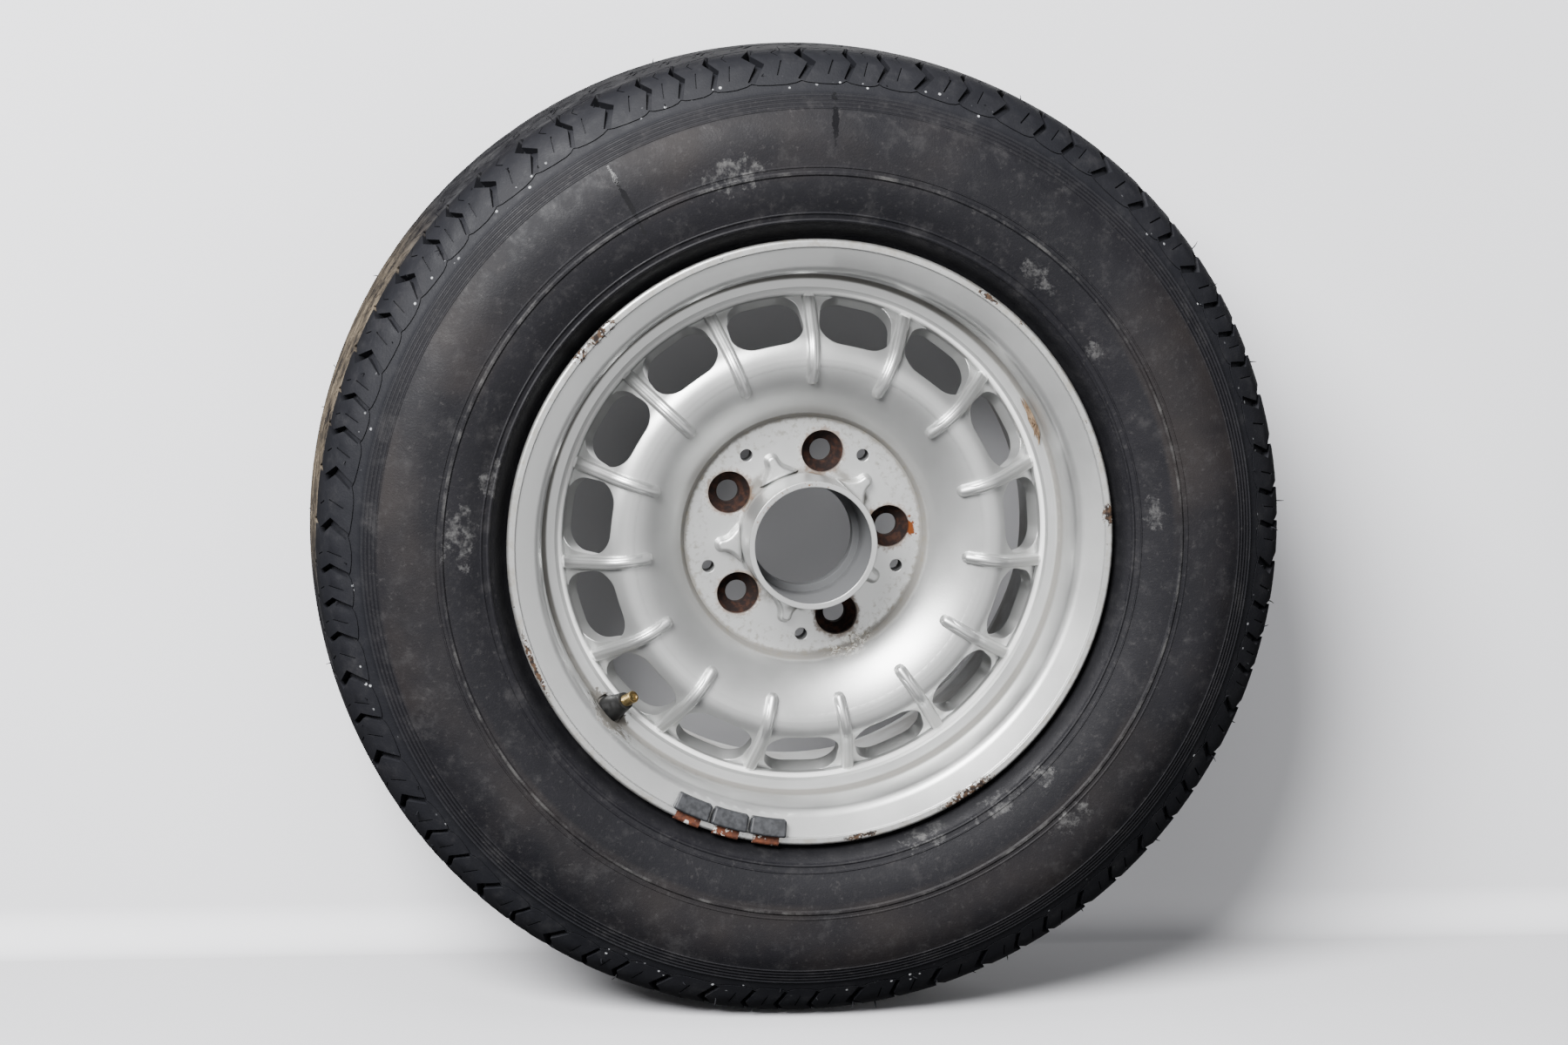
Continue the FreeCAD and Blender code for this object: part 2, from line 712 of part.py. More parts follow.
def ring_grooves(body):
    """Grooves that run round the tread."""
    floor = "tyre_radius - groove_depth"
    rim_top = "tyre_radius + groove_headroom"
    for name, sign in (("front", ""), ("back", "-")):
        for kind in ("main_groove", "side_groove"):
            sketch = new_sketch(body, f"{kind}_{name}")
            near = f"{sign}({kind}_place - {kind}_width / 2)"
            far = f"{sign}({kind}_place + {kind}_width / 2)"
            corners = ((floor, near), (rim_top, near), (rim_top, far), (floor, far))
            draw(sketch, [section(radius, depth) for radius, depth in corners])
            turn(body, sketch, "PartDesign::Groove")
            doc.recompute()


def shoulder_groove():
    """The cutter of one kinked groove across the shoulder of the tread."""
    body = doc.addObject("PartDesign::Body", "shoulder_groove")
    middle_radius = "tyre_radius - shoulder_drop - shoulder_groove_sink"
    middle_depth = f"{TREAD_EDGE} - shoulder_groove_inset"
    sketch = tilted_sketch(body, "kinked_line", middle_radius, middle_depth, "shoulder_groove_tilt")
    line = [
        ("shoulder_groove_length / 2", "-shoulder_groove_swing"),
        ("shoulder_groove_length * (1 / 2 - first_knee_share)", "shoulder_groove_swing"),
        ("shoulder_groove_length * (1 / 2 - second_knee_share)", "-shoulder_groove_swing"),
        ("-shoulder_groove_length / 2", "shoulder_groove_swing"),
    ]
    below = [(along, f"{swing} - shoulder_groove_width / 2") for along, swing in line]
    above = [(along, f"{swing} + shoulder_groove_width / 2") for along, swing in reversed(line)]
    draw(sketch, below + above)
    push(body, sketch, "groove_headroom", "PartDesign::Pad")
    doc.recompute()
    return body


def shoulder_grooves():
    """A kinked groove for every block, on both shoulders, at the uneven pitch of the tread."""
    cutter = shoulder_groove()
    pitches = {"S": value_of("small_pitch"), "L": value_of("large_pitch")}
    steps = [pitches[PITCH_ORDER[number % len(PITCH_ORDER)]] for number in range(PITCH_COUNT)]
    share = value_of("groove_share")
    copies = []
    for number, step in enumerate(steps):
        for flip, place in ((0, share), (180, 1 - share)):
            bearing = 360 * (sum(steps[:number]) + place * step) / sum(steps)
            copy = cutter.Shape.copy()
            copy.rotate(FreeCAD.Vector(), FreeCAD.Vector(1, 0, 0), flip)
            copy.rotate(FreeCAD.Vector(), SPIN, -bearing)
            copies.append(copy)
    grooves = doc.addObject("Part::Feature", "shoulder_grooves")
    grooves.Shape = Part.Compound(copies)
    return grooves


def make_tyre():
    """The tyre, turned as two halves that meet at the middle plane, then grooved."""
    body = doc.addObject("PartDesign::Body", "tyre_blank")
    for name, sign in (("outer_half", ""), ("inner_half", "-")):
        sketch = new_sketch(body, name)
        draw(sketch, tyre_half(sign))
        turn(body, sketch)
        doc.recompute()
    ring_grooves(body)
    tyre = doc.addObject("Part::Cut", "tyre")
    tyre.Base = body
    tyre.Tool = shoulder_grooves()
    doc.recompute()
    return tyre


# Valve

CORE_TOP = "(stem_length - core_sink)"
CORE_FOOT = f"({CORE_TOP} - core_plug_length - core_barrel_length)"
STEM_SEAT = "(stem_length - core_chamber_length)"
GUIDE_TOP = f"({CORE_FOOT} + core_guide_length)"
COLLAR = f"({GUIDE_TOP} + spring_length)"


def turned_piece(name, corners):
    """A small piece turned about its own length, which is Z."""
    body = doc.addObject("PartDesign::Body", name)
    sketch = new_sketch(body, f"{name}_profile", "XZ_Plane")
    draw(sketch, corners)
    turn(body, sketch)
    doc.recompute()
    return body


def valve_rubber():
    """Bulb inside the tyre, neck in the hole, foot and tapering sleeve."""
    bore = "(stem_radius + stem_fit)"
    back = "-(valve_wall + valve_fit)"
    tail = "-(valve_wall + valve_fit + valve_bulb_length)"
    neck = "valve_hole_radius - valve_fit"
    return turned_piece("valve_rubber", [
        (bore, tail),
        ("valve_bulb_tail_radius", tail),
        ("valve_bulb_radius", back),
        (neck, back),
        (neck, "valve_fit"),
        ("valve_foot_radius", "valve_fit"),
        ("valve_foot_radius", "valve_foot_length", "valve_foot_length / 3"),
        ("valve_neck_radius", "valve_rubber_length"),
        (bore, "valve_rubber_length"),
    ])


def valve_stem():
    """Brass stem with a wider threaded end and a stepped bore for the core."""
    shoulder = "valve_rubber_length + valve_fit"
    return turned_piece("valve_stem", [
        ("stem_bore_radius", "-stem_tail"),
        ("stem_radius", "-stem_tail"),
        ("stem_radius", shoulder),
        ("stem_thread_radius", shoulder),
        ("stem_thread_radius", "stem_length - stem_edge"),
        ("stem_thread_radius - stem_edge", "stem_length"),
        ("core_chamber_radius", "stem_length"),
        ("core_chamber_radius", STEM_SEAT),
        ("stem_bore_radius", f"{STEM_SEAT} - core_seat_length"),
    ])


def core_body():
    """Screwed plug and barrel of the valve core, bored through, with a guide for the pin at its foot."""
    plug_foot = f"{CORE_TOP} - core_plug_length"
    return turned_piece("core_body", [
        ("core_guide_radius", CORE_FOOT),
        ("core_barrel_radius", CORE_FOOT),
        ("core_barrel_radius", plug_foot),
        ("core_plug_radius", plug_foot),
        ("core_plug_radius", CORE_TOP),
        ("core_bore_radius", CORE_TOP),
        ("core_bore_radius", GUIDE_TOP),
        ("core_guide_radius", GUIDE_TOP),
    ])


def core_gasket():
    """Ring that seals the barrel of the core on the seat in the stem."""
    inner = "core_barrel_radius + core_gap"
    outer = "core_chamber_radius - core_gap"
    return turned_piece("core_gasket", [
        (inner, f"{STEM_SEAT} + core_gap"),
        (outer, f"{STEM_SEAT} + core_gap"),
        (outer, f"{STEM_SEAT} + core_gap + gasket_height"),
        (inner, f"{STEM_SEAT} + core_gap + gasket_height"),
    ])


def core_pin():
    """Pin with a head in the mouth of the stem, a collar on the spring and a cup below the barrel."""
    top = "stem_length - pin_sink"
    collar_foot = f"({COLLAR} + core_gap)"
    cup_top = f"({CORE_FOOT} - 2 * core_gap - seal_thickness)"
    return turned_piece("core_pin", [
        ("0", f"{cup_top} - plunger_length"),
        ("plunger_radius", f"{cup_top} - plunger_length"),
        ("plunger_radius", cup_top),
        ("pin_radius", cup_top),
        ("pin_radius", collar_foot),
        ("pin_collar_radius", collar_foot),
        ("pin_collar_radius", f"{collar_foot} + pin_collar_length"),
        ("pin_radius", f"{collar_foot} + pin_collar_length"),
        ("pin_radius", f"{top} - pin_head_length"),
        ("pin_head_radius", f"{top} - pin_head_length"),
        ("pin_head_radius", top),
        ("0", top),
    ])


def plunger_seal():
    """Rubber washer on the pin that closes the foot of the barrel."""
    top = f"({CORE_FOOT} - core_gap)"
    return turned_piece("plunger_seal", [
        ("pin_radius + core_gap", f"{top} - seal_thickness"),
        ("plunger_radius", f"{top} - seal_thickness"),
        ("plunger_radius", top),
        ("pin_radius + core_gap", top),
    ])


def core_spring():
    """Coil spring between the guide and the collar of the pin."""
    body = doc.addObject("PartDesign::Body", "core_spring")
    sketch = new_sketch(body, "spring_wire", "XZ_Plane")
    draw_circle(sketch, "spring_radius", f"{GUIDE_TOP} + core_gap + spring_wire_radius", "spring_wire_radius")
    coil = body.newObject("PartDesign::AdditiveHelix", "coil")
    coil.Profile = sketch
    coil.ReferenceAxis = (sketch, ["V_Axis"])
    coil.Mode = "height-turns-angle"
    bind(coil, "Height", "spring_length - 2 * spring_wire_radius - core_gap")
    bind(coil, "Turns", "spring_turns")
    doc.recompute()
    return body


def make_valve():
    """Every piece of the valve, carried to the hole in the wall of the well."""
    core = [core_body(), core_gasket(), core_pin(), plunger_seal(), core_spring()]
    pieces = [valve_rubber(), valve_stem(), *core]
    tilt = math.radians(value_of(VALVE_TILT))
    seat = FreeCAD.Vector(value_of(VALVE_RADIUS), -value_of(VALVE_DEPTH), 0)
    outwards = FreeCAD.Vector(-math.cos(tilt), -math.sin(tilt), 0)
    stand = FreeCAD.Placement(seat, FreeCAD.Rotation(FreeCAD.Vector(0, 0, 1), outwards))
    turned = FreeCAD.Placement(FreeCAD.Vector(), about_axle("pattern_turn"))
    for piece in pieces:
        piece.Placement = turned * stand
    return pieces


# Balance weights

BAND = f"({FLANGE} - lip_band_width - lip_slant)"
LIP_SLOPE = f"(({LIP} - lip_step - lip_foot_depth) / ({BAND} - cove_radius - cove_draft))"
TONGUE = f"({LIP} + weight_gap)"


def weight_seat(radius):
    """The depth at which a weight clears the slope inside the flange."""
    return f"(lip_foot_depth + ({radius} - cove_radius - cove_draft) * {LIP_SLOPE} + weight_gap)"


def balance_weight(number):
    """Lead block curved to the flange, rounded all over, with a slot for the tongue of its clip."""
    body = doc.addObject("PartDesign::Body", f"balance_weight_{number}")
    sketch = new_sketch(body, f"weight_section_{number}")
    ends = ("weight_inner_radius", "weight_outer_radius")
    draw(sketch, [
        *[section(end, weight_seat(end)) for end in ends],
        *[section(end, f"{weight_seat(end)} + weight_thickness") for end in reversed(ends)],
    ])
    block = turn(body, sketch, angle="weight_angle")
    doc.recompute()
    rounded = body.newObject("PartDesign::Fillet", f"weight_edges_{number}")
    rounded.Base = (block, [""])
    rounded.UseAllEdges = True
    bind(rounded, "Radius", "weight_edge_radius")
    doc.recompute()
    slot = new_sketch(body, f"weight_slot_{number}")
    mouth = "weight_outer_radius + clip_thickness"
    draw(slot, [
        section("clip_tongue_radius - clip_fit", f"{TONGUE} - clip_fit"),
        section(mouth, f"{TONGUE} - clip_fit"),
        section(mouth, f"{TONGUE} + clip_thickness + clip_fit"),
        section("clip_tongue_radius - clip_fit", f"{TONGUE} + clip_thickness + clip_fit"),
    ])
    turn(body, slot, "PartDesign::Groove", angle="clip_angle + clip_fit")
    doc.recompute()
    return body


def weight_clip(number):
    """Steel strip from the slot of a weight over the edge of the flange."""
    body = doc.addObject("PartDesign::Body", f"weight_clip_{number}")
    sketch = new_sketch(body, f"clip_section_{number}")
    inside = f"({FLANGE} + weight_gap)"
    tip = f"{LIP} - clip_hook_length"
    outer_bend = "clip_bend_radius + clip_thickness"
    draw(sketch, [
        section("clip_tongue_radius", TONGUE),
        section(inside, TONGUE, "clip_bend_radius"),
        section(f"{inside} - clip_hook_draft", tip),
        section(f"{inside} - clip_hook_draft + clip_thickness", tip),
        section(f"{inside} + clip_thickness", f"{TONGUE} + clip_thickness", outer_bend),
        section("clip_tongue_radius", f"{TONGUE} + clip_thickness"),
    ])
    turn(body, sketch, angle="clip_angle")
    doc.recompute()
    return body


def make_weights():
    """The row of weights, each with its clip."""
    pieces = []
    for number in range(1, WEIGHT_COUNT + 1):
        for piece in (balance_weight(number), weight_clip(number)):
            bearing = about_axle(f"weight_first_turn + {number - 1} * weight_pitch")
            piece.Placement = FreeCAD.Placement(FreeCAD.Vector(), bearing)
            pieces.append(piece)
    return pieces


# Build and write every piece

pieces = [make_rim(), make_tyre(), *make_valve(), *make_weights()]
doc.recompute()
for item in doc.Objects:
    if "Invalid" in item.State or "Error" in item.State:
        raise RuntimeError(f"{item.Name} did not build")
os.makedirs("parts", exist_ok=True)
for piece in pieces:
    if piece.Shape.isNull() or not piece.Shape.isValid():
        raise RuntimeError(f"{piece.Label} has no sound shape")
    piece.Shape.exportStep(f"parts/{piece.Label}.step")
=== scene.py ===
import math

import bpy
import numpy as np
from mathutils import Matrix, Vector
from mathutils.geometry import delaunay_2d_cdt


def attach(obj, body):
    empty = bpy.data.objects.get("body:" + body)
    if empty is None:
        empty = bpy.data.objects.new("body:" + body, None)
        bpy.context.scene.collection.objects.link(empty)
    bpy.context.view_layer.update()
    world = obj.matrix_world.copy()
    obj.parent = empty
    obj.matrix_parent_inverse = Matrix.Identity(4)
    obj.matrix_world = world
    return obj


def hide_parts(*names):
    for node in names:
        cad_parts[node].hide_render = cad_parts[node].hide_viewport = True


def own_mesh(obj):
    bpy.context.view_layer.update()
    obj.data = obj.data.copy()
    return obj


# Looks of an alloy wheel with its tyre. The wheel spins about Y, its face looks towards -Y and +Z is up.
# Sizes in the named values are millimetres. A depth is counted outwards, towards -Y.

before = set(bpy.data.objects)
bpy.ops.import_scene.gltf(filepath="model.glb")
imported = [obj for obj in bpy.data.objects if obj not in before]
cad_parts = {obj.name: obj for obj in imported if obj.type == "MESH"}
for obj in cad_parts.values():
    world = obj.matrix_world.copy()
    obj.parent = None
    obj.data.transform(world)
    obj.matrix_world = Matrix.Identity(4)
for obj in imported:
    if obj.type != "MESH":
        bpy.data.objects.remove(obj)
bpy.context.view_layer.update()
MM = 0.001
PATTERN_TURN = 222.2
BODY = "wheel"
PIN_BODY = "valve_pin"


def at(radius, depth, bearing):
    """The point at a radius, depth and bearing, in metres."""
    turn = math.radians(bearing)
    return Vector((radius * math.cos(turn), -depth, radius * math.sin(turn))) * MM


# Camera, floor and light

CAMERA_PLACE = (-387.7, -2444.4, 373.2)
CAMERA_RIGHT = (0.98827, -0.15101, 0.02296)
CAMERA_UP = (0.0, 0.15032, 0.98864)
CAMERA_LENS = 87.51
SENSOR_WIDTH = 36.0
TYRE_RADIUS = 314.3


def add_camera():
    data = bpy.data.cameras.new("camera")
    data.lens = CAMERA_LENS
    data.sensor_width = SENSOR_WIDTH
    data.sensor_fit = "HORIZONTAL"
    camera = bpy.data.objects.new("camera", data)
    right = Vector(CAMERA_RIGHT).normalized()
    back = right.cross(Vector(CAMERA_UP)).normalized()
    up = back.cross(right)
    turn = Matrix((right, up, back)).transposed().to_4x4()
    camera.matrix_world = Matrix.Translation(Vector(CAMERA_PLACE) * MM) @ turn
    bpy.context.scene.collection.objects.link(camera)
    bpy.context.scene.camera = camera


# Soft lights that look at the middle of the wheel: name, place in metres, size across and power
LIGHTS = [
    ("key", (-1.7, -2.6, 2.2), 2.0, 460),
    ("top", (-0.6, -0.9, 3.2), 2.2, 40),
    ("back", (1.2, 3.2, 0.7), 3.0, 34),
    ("front", (0.9, -2.9, -0.35), 3.6, 36),
]
SKY_COLOUR = (0.95, 0.96, 1.0, 1)
SKY_STRENGTH = 0.10


def add_lights():
    for name, place, size, power in LIGHTS:
        data = bpy.data.lights.new(name, "AREA")
        data.shape = "DISK"
        data.size = size
        data.energy = power
        light = bpy.data.objects.new(name, data)
        light.location = place
        light.rotation_euler = (-Vector(place)).to_track_quat("-Z", "Y").to_euler()
        bpy.context.scene.collection.objects.link(light)
    world = bpy.data.worlds.new("studio")
    world.use_nodes = True
    sky = world.node_tree.nodes["Background"]
    sky.inputs["Color"].default_value = SKY_COLOUR
    sky.inputs["Strength"].default_value = SKY_STRENGTH
    bpy.context.scene.world = world


# Node materials

# Sockets of the mix node that carry colours
COLOUR_FIRST = 6
COLOUR_SECOND = 7
COLOUR_OUT = 2
# Where the edge of a patch fades, in shares of its size
PATCH_FADE = (0.75, 1.1)
BEVEL_SAMPLES = 6


class Graph:
    """A material being wired up."""

    def __init__(self, name):
        self.material = bpy.data.materials.new(name)
        self.material.use_nodes = True
        self.tree = self.material.node_tree
        self.shader = self.tree.nodes["Principled BSDF"]
        self.place = self.node("ShaderNodeTexCoord").outputs["Object"]
        self.axes = None

    def node(self, kind, **settings):
        node = self.tree.nodes.new(kind)
        for key, value in settings.items():
            setattr(node, key, value)
        return node

    def feed(self, socket, value):
        if isinstance(value, bpy.types.NodeSocket):
            self.tree.links.new(value, socket)
        elif hasattr(value, "__len__") and len(value) == 3 and socket.type == "RGBA":
            socket.default_value = (*value, 1)
        else:
            socket.default_value = value

    def set(self, name, value):
        self.feed(self.shader.inputs[name], value)

    def math(self, operation, first, second=0.0):
        node = self.node("ShaderNodeMath", operation=operation)
        for socket, value in zip(node.inputs, (first, second)):
            self.feed(socket, value)
        return node.outputs[0]

    def ramp(self, value, low, high, start=0.0, end=1.0):
        node = self.node("ShaderNodeMapRange", interpolation_type="SMOOTHSTEP")
        for socket, entry in zip(node.inputs, (value, low, high, start, end)):
            self.feed(socket, entry)
        return node.outputs[0]

    def mix(self, factor, first, second):
        node = self.node("ShaderNodeMix", data_type="RGBA")
        self.feed(node.inputs["Factor"], factor)
        self.feed(node.inputs[COLOUR_FIRST], first)
        self.feed(node.inputs[COLOUR_SECOND], second)
        return node.outputs[COLOUR_OUT]

    def noise(self, scale, detail=4.0, rough=0.55):
        node = self.node("ShaderNodeTexNoise")
        self.feed(node.inputs["Vector"], self.place)
        self.feed(node.inputs["Scale"], scale)
        self.feed(node.inputs["Detail"], detail)
        self.feed(node.inputs["Roughness"], rough)
        return node.outputs["Fac"]

    def cells(self, scale):
        node = self.node("ShaderNodeTexVoronoi")
        self.feed(node.inputs["Vector"], self.place)
        self.feed(node.inputs["Scale"], scale)
        return node.outputs["Distance"]

    def polar(self):
        """Radius and depth in millimetres and bearing in degrees, from 0 to 360."""
        if self.axes is None:
            split = self.node("ShaderNodeSeparateXYZ")
            self.feed(split.inputs[0], self.place)
            x, y, z = split.outputs
            flat = self.math("ADD", self.math("MULTIPLY", x, x), self.math("MULTIPLY", z, z))
            radius = self.math("MULTIPLY", self.math("SQRT", flat), 1 / MM)
            depth = self.math("MULTIPLY", y, -1 / MM)
            bearing = self.math("DEGREES", self.math("ARCTAN2", z, x))
            bearing = self.math("FLOORED_MODULO", bearing, 360.0)
            self.axes = (radius, depth, bearing)
        return self.axes

    def band(self, value, low, high, soft):
        """One between low and high, fading to nothing over soft."""
        rise = self.ramp(value, low - soft, low)
        fall = self.ramp(value, high, high + soft, 1.0, 0.0)
        return self.math("MULTIPLY", rise, fall)

    def near_bearing(self, bearing, width, soft):
        """One within width degrees of a bearing."""
        turn = self.math("SUBTRACT", self.polar()[2], bearing - 180)
        turn = self.math("FLOORED_MODULO", turn, 360.0)
        away = self.math("ABSOLUTE", self.math("SUBTRACT", turn, 180.0))
        return self.ramp(away, width, width + soft, 1.0, 0.0)

    def spot_distance(self, count, radius, first):
        """Distance in millimetres from the nearest of several spots on a circle, seen along the axle."""
        reach, depth, bearing = self.polar()
        step = 360.0 / count
        turn = self.math("FLOORED_MODULO", self.math("SUBTRACT", bearing, first - step / 2), step)
        turn = self.math("RADIANS", self.math("SUBTRACT", turn, step / 2))
        along = self.math("SUBTRACT", self.math("MULTIPLY", reach, self.math("COSINE", turn)), radius)
        across = self.math("MULTIPLY", reach, self.math("SINE", turn))
        square = self.math("ADD", self.math("MULTIPLY", along, along), self.math("MULTIPLY", across, across))
        return self.math("SQRT", square)

    def patch(self, bearing, radius, length, width, ragged):
        """One near a place on the face, fading at an edge that is made ragged."""
        reach, depth, turn = self.polar()
        swing = self.math("FLOORED_MODULO", self.math("SUBTRACT", turn, bearing - 180), 360.0)
        swing = self.math("RADIANS", self.math("SUBTRACT", swing, 180.0))
        along = self.math("DIVIDE", self.math("MULTIPLY", swing, radius), length / 2)
        across = self.math("DIVIDE", self.math("SUBTRACT", reach, radius), width / 2)
        square = self.math("ADD", self.math("MULTIPLY", along, along), self.math("MULTIPLY", across, across))
        away = self.math("ADD", self.math("SQRT", square), ragged)
        return self.ramp(away, *PATCH_FADE, 1.0, 0.0)

    def most(self, *values):
        """The largest of several values."""
        result = values[0]
        for value in values[1:]:
            result = self.math("MAXIMUM", result, value)
        return result

    def bump(self, height, distance, strength=1.0, edge=0.0):
        """Raise the surface by a height, over edges softened to a radius in millimetres."""
        node = self.node("ShaderNodeBump")
        node.inputs["Strength"].default_value = strength
        node.inputs["Distance"].default_value = distance * MM
        self.feed(node.inputs["Height"], height)
        if edge:
            soft = self.node("ShaderNodeBevel", samples=BEVEL_SAMPLES)
            soft.inputs["Radius"].default_value = edge * MM
            self.feed(node.inputs["Normal"], soft.outputs[0])
        self.set("Normal", node.outputs[0])


def times(graph, *values):
    """The product of several values."""
    result = values[0]
    for value in values[1:]:
        result = graph.math("MULTIPLY", result, value)
    return result


# Where the stage stands, in metres, and how its wall bends into the floor
STAGE_HALF = 7.0
WALL_PLACE = 0.135
WALL_HEIGHT = 6.0
WALL_BEND = 0.03
BEND_STEPS = 10
PALE = ((0.86, 0.86, 0.89), (0.89, 0.89, 0.92))
# How dark the painted shadow on the wall is where the wheel keeps the light off it, and the radii over which
# that fades
SHADE_COLOUR = (0.10, 0.10, 0.105)
SHADE = 0.80
SHADE_REACH = (45.0, 240.0)


def pale_material(name, clear_behind=False):
    """Pale matt board; where asked it has a painted shadow behind the wheel and is clear when seen from
    behind.
    """
    graph = Graph(name)
    tone = graph.ramp(graph.noise(3.0), 0.3, 0.7)
    pale = graph.mix(tone, *PALE)
    graph.set("Roughness", 0.8)
    if clear_behind:
        # Painted shadow of the wheel: the wall is darker round the axle, fading outwards
        pale = graph.mix(graph.ramp(graph.polar()[0], *SHADE_REACH, SHADE, 0.0), pale, SHADE_COLOUR)
        behind = graph.node("ShaderNodeNewGeometry").outputs["Backfacing"]
        either = graph.node("ShaderNodeMixShader")
        graph.feed(either.inputs[0], behind)
        graph.feed(either.inputs[1], graph.shader.outputs[0])
        graph.feed(either.inputs[2], graph.node("ShaderNodeBsdfTransparent").outputs[0])
        graph.feed(graph.tree.nodes["Material Output"].inputs["Surface"], either.outputs[0])
    graph.set("Base Color", pale)
    return graph.material


def stage_board(name, profile, material):
    """A wide board along X, from a profile of places behind the axle and heights."""
    verts = [(x, y, z) for y, z in profile for x in (-STAGE_HALF, STAGE_HALF)]
    faces = [(2 * k, 2 * k + 1, 2 * k + 3, 2 * k + 2) for k in range(len(profile) - 1)]
    mesh = bpy.data.meshes.new(name)
    mesh.from_pydata(verts, [], faces)
    mesh.shade_smooth()
    mesh.materials.append(material)
    board = bpy.data.objects.new(name, mesh)
    bpy.context.scene.collection.objects.link(board)
    return board


def add_stage():
    """A pale floor under the tyre and, close behind it, a pale wall that is clear from behind."""
    floor = -TYRE_RADIUS * MM
    ground = stage_board("floor", [(-STAGE_HALF, floor), (STAGE_HALF, floor)], pale_material("pale_floor"))
    profile = []
    for k in range(BEND_STEPS + 1):
        turn = math.pi / 2 * k / BEND_STEPS
        away = WALL_BEND * (1 - math.sin(turn))
        rise = WALL_BEND * (1 - math.cos(turn))
        profile.append((WALL_PLACE - away, floor + rise))
    profile.append((WALL_PLACE, WALL_HEIGHT))
    wall = stage_board("wall", profile, pale_material("pale_wall", clear_behind=True))
    wall.visible_shadow = False
    for board in (ground, wall):
        board.visible_diffuse = False
        board.visible_glossy = False


# Mesh helpers

SMOOTH_ANGLE = math.radians(32)
NODE_WELD = 0.001


def new_piece(name, verts, faces, material, body=BODY, replaces=(), slot=None, angle=SMOOTH_ANGLE):
    """A mesh piece that rides on a body and stands for some CAD nodes."""
    mesh = bpy.data.meshes.new(name)
    mesh.from_pydata([tuple(v) for v in verts], [], [tuple(int(i) for i in f) for f in faces])
    mesh.validate()
    mesh.shade_smooth()
    mesh.set_sharp_from_angle(angle=angle)
    piece = bpy.data.objects.new(name, mesh)
    bpy.context.scene.collection.objects.link(piece)
    mesh.materials.append(material)
    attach(piece, body)
    if replaces:
        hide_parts(*replaces)
    return piece


def weld(places, faces, near):
    """The same faces with points that fall together made one, without faces that fold up."""
    places = np.array(places)
    keys, index = np.unique(np.round(places / (MM * near)).astype(np.int64), axis=0, return_inverse=True)
    index = index.ravel()
    merged = np.zeros((len(keys), 3))
    merged[index] = places
    welded = []
    for face in faces:
        loop = []
        for i in face:
            if not loop or index[i] != loop[-1]:
                loop.append(int(index[i]))
        if len(loop) > 2 and loop[0] == loop[-1]:
            loop.pop()
        if len(set(loop)) == len(loop) and len(loop) > 2:
            welded.append(tuple(loop))
    return merged, welded


def copy_node(node, material, body=BODY, slot=None):
    """A smooth-shaded copy of a CAD node that stands for it."""
    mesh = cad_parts[node].data
    places = [v.co for v in mesh.vertices]
    faces = [polygon.vertices for polygon in mesh.polygons]
    return new_piece(f"{node}_skin", *weld(places, faces, NODE_WELD), material, body, (node,), slot)


# Steps that scatter numbers evenly
GOLDEN = 0.6180339887
SECOND_GOLDEN = 0.7548776662


def share(number, salt=0):
    """A scattered share from nothing to one that is the same every time."""
    return (number * GOLDEN + salt * SECOND_GOLDEN + number * salt * SECOND_GOLDEN * GOLDEN) % 1


# A direction that no tube runs along
SKEW = Vector((0.3, 1, 0.2))


def tube(line, radii, sides=5):
    """Points and faces of a closed tube along a line of points, with a radius at each."""
    verts, faces = [], []
    for k, (point, radius) in enumerate(zip(line, radii)):
        ahead = (line[min(k + 1, len(line) - 1)] - line[max(k - 1, 0)]).normalized()
        side = ahead.cross(SKEW).normalized()
        other = ahead.cross(side)
        for n in range(sides):
            turn = 2 * math.pi * n / sides
            verts.append(point + (side * math.cos(turn) + other * math.sin(turn)) * radius * MM)
    for k in range(len(line) - 1):
        for n in range(sides):
            a = k * sides + n
            b = k * sides + (n + 1) % sides
            faces.append((a, b, b + sides, a + sides))
    faces.append(tuple(reversed(range(sides))))
    faces.append(tuple(range(len(verts) - sides, len(verts))))
    return verts, faces


def join(parts):
    """Several meshes as one list of points and one of faces."""
    verts, faces = [], []
    for part_verts, part_faces in parts:
        first = len(verts)
        verts.extend(part_verts)
        faces.extend(tuple(first + i for i in face) for face in part_faces)
    return verts, faces


# Rim

LUG_COUNT = 5
LUG_CIRCLE = 56.0
PIN_HOLE_CIRCLE = 64.5
PIN_HOLE_TURN = 48.0
LIP_RADIUS = 192.5
# Places on the flange where the paint is chipped: bearing, length and width
LIP_CHIPS = [
    (135.5, 26, 9), (141.5, 12, 8), (6.0, 16, 9), (303.0, 44, 8),
    (281.0, 26, 5), (56.0, 20, 4), (203.0, 50, 4),
]
# Other marks on the face: bearing, radius, length and width
CAUGHT_DIRT = (25.0, 156.5, 26, 5)
VALVE_DIRT = (PATTERN_TURN, 168.5, 34, 14)
FLAKING = (294.0, 76.0, 34, 18)
RUST_BLEED = (5.5, 70.0, 11, 7)
SILVER = ((0.57, 0.575, 0.57), (0.65, 0.655, 0.65))
# Dark tone for grime, also used as painted shade on the foot of the bowl
GRIME_AND_SHADE = (0.075, 0.064, 0.048)
VEIL = (0.20, 0.175, 0.125)
FLAKES = ((0.16, 0.13, 0.09), (0.72, 0.71, 0.66))
RUST_HALO = (0.12, 0.062, 0.026)
RUST_ORANGE = (0.13, 0.034, 0.006)
RUST_DARK = ((0.008, 0.0045, 0.004), (0.030, 0.012, 0.007))
RUST_SPECK = (0.27, 0.13, 0.05)
# Painted shade inside the small holes
HOLE_SHADE = (0.05, 0.05, 0.052)
# Painted shade inside the tube
BORE_SHADE = (0.075, 0.077, 0.082)
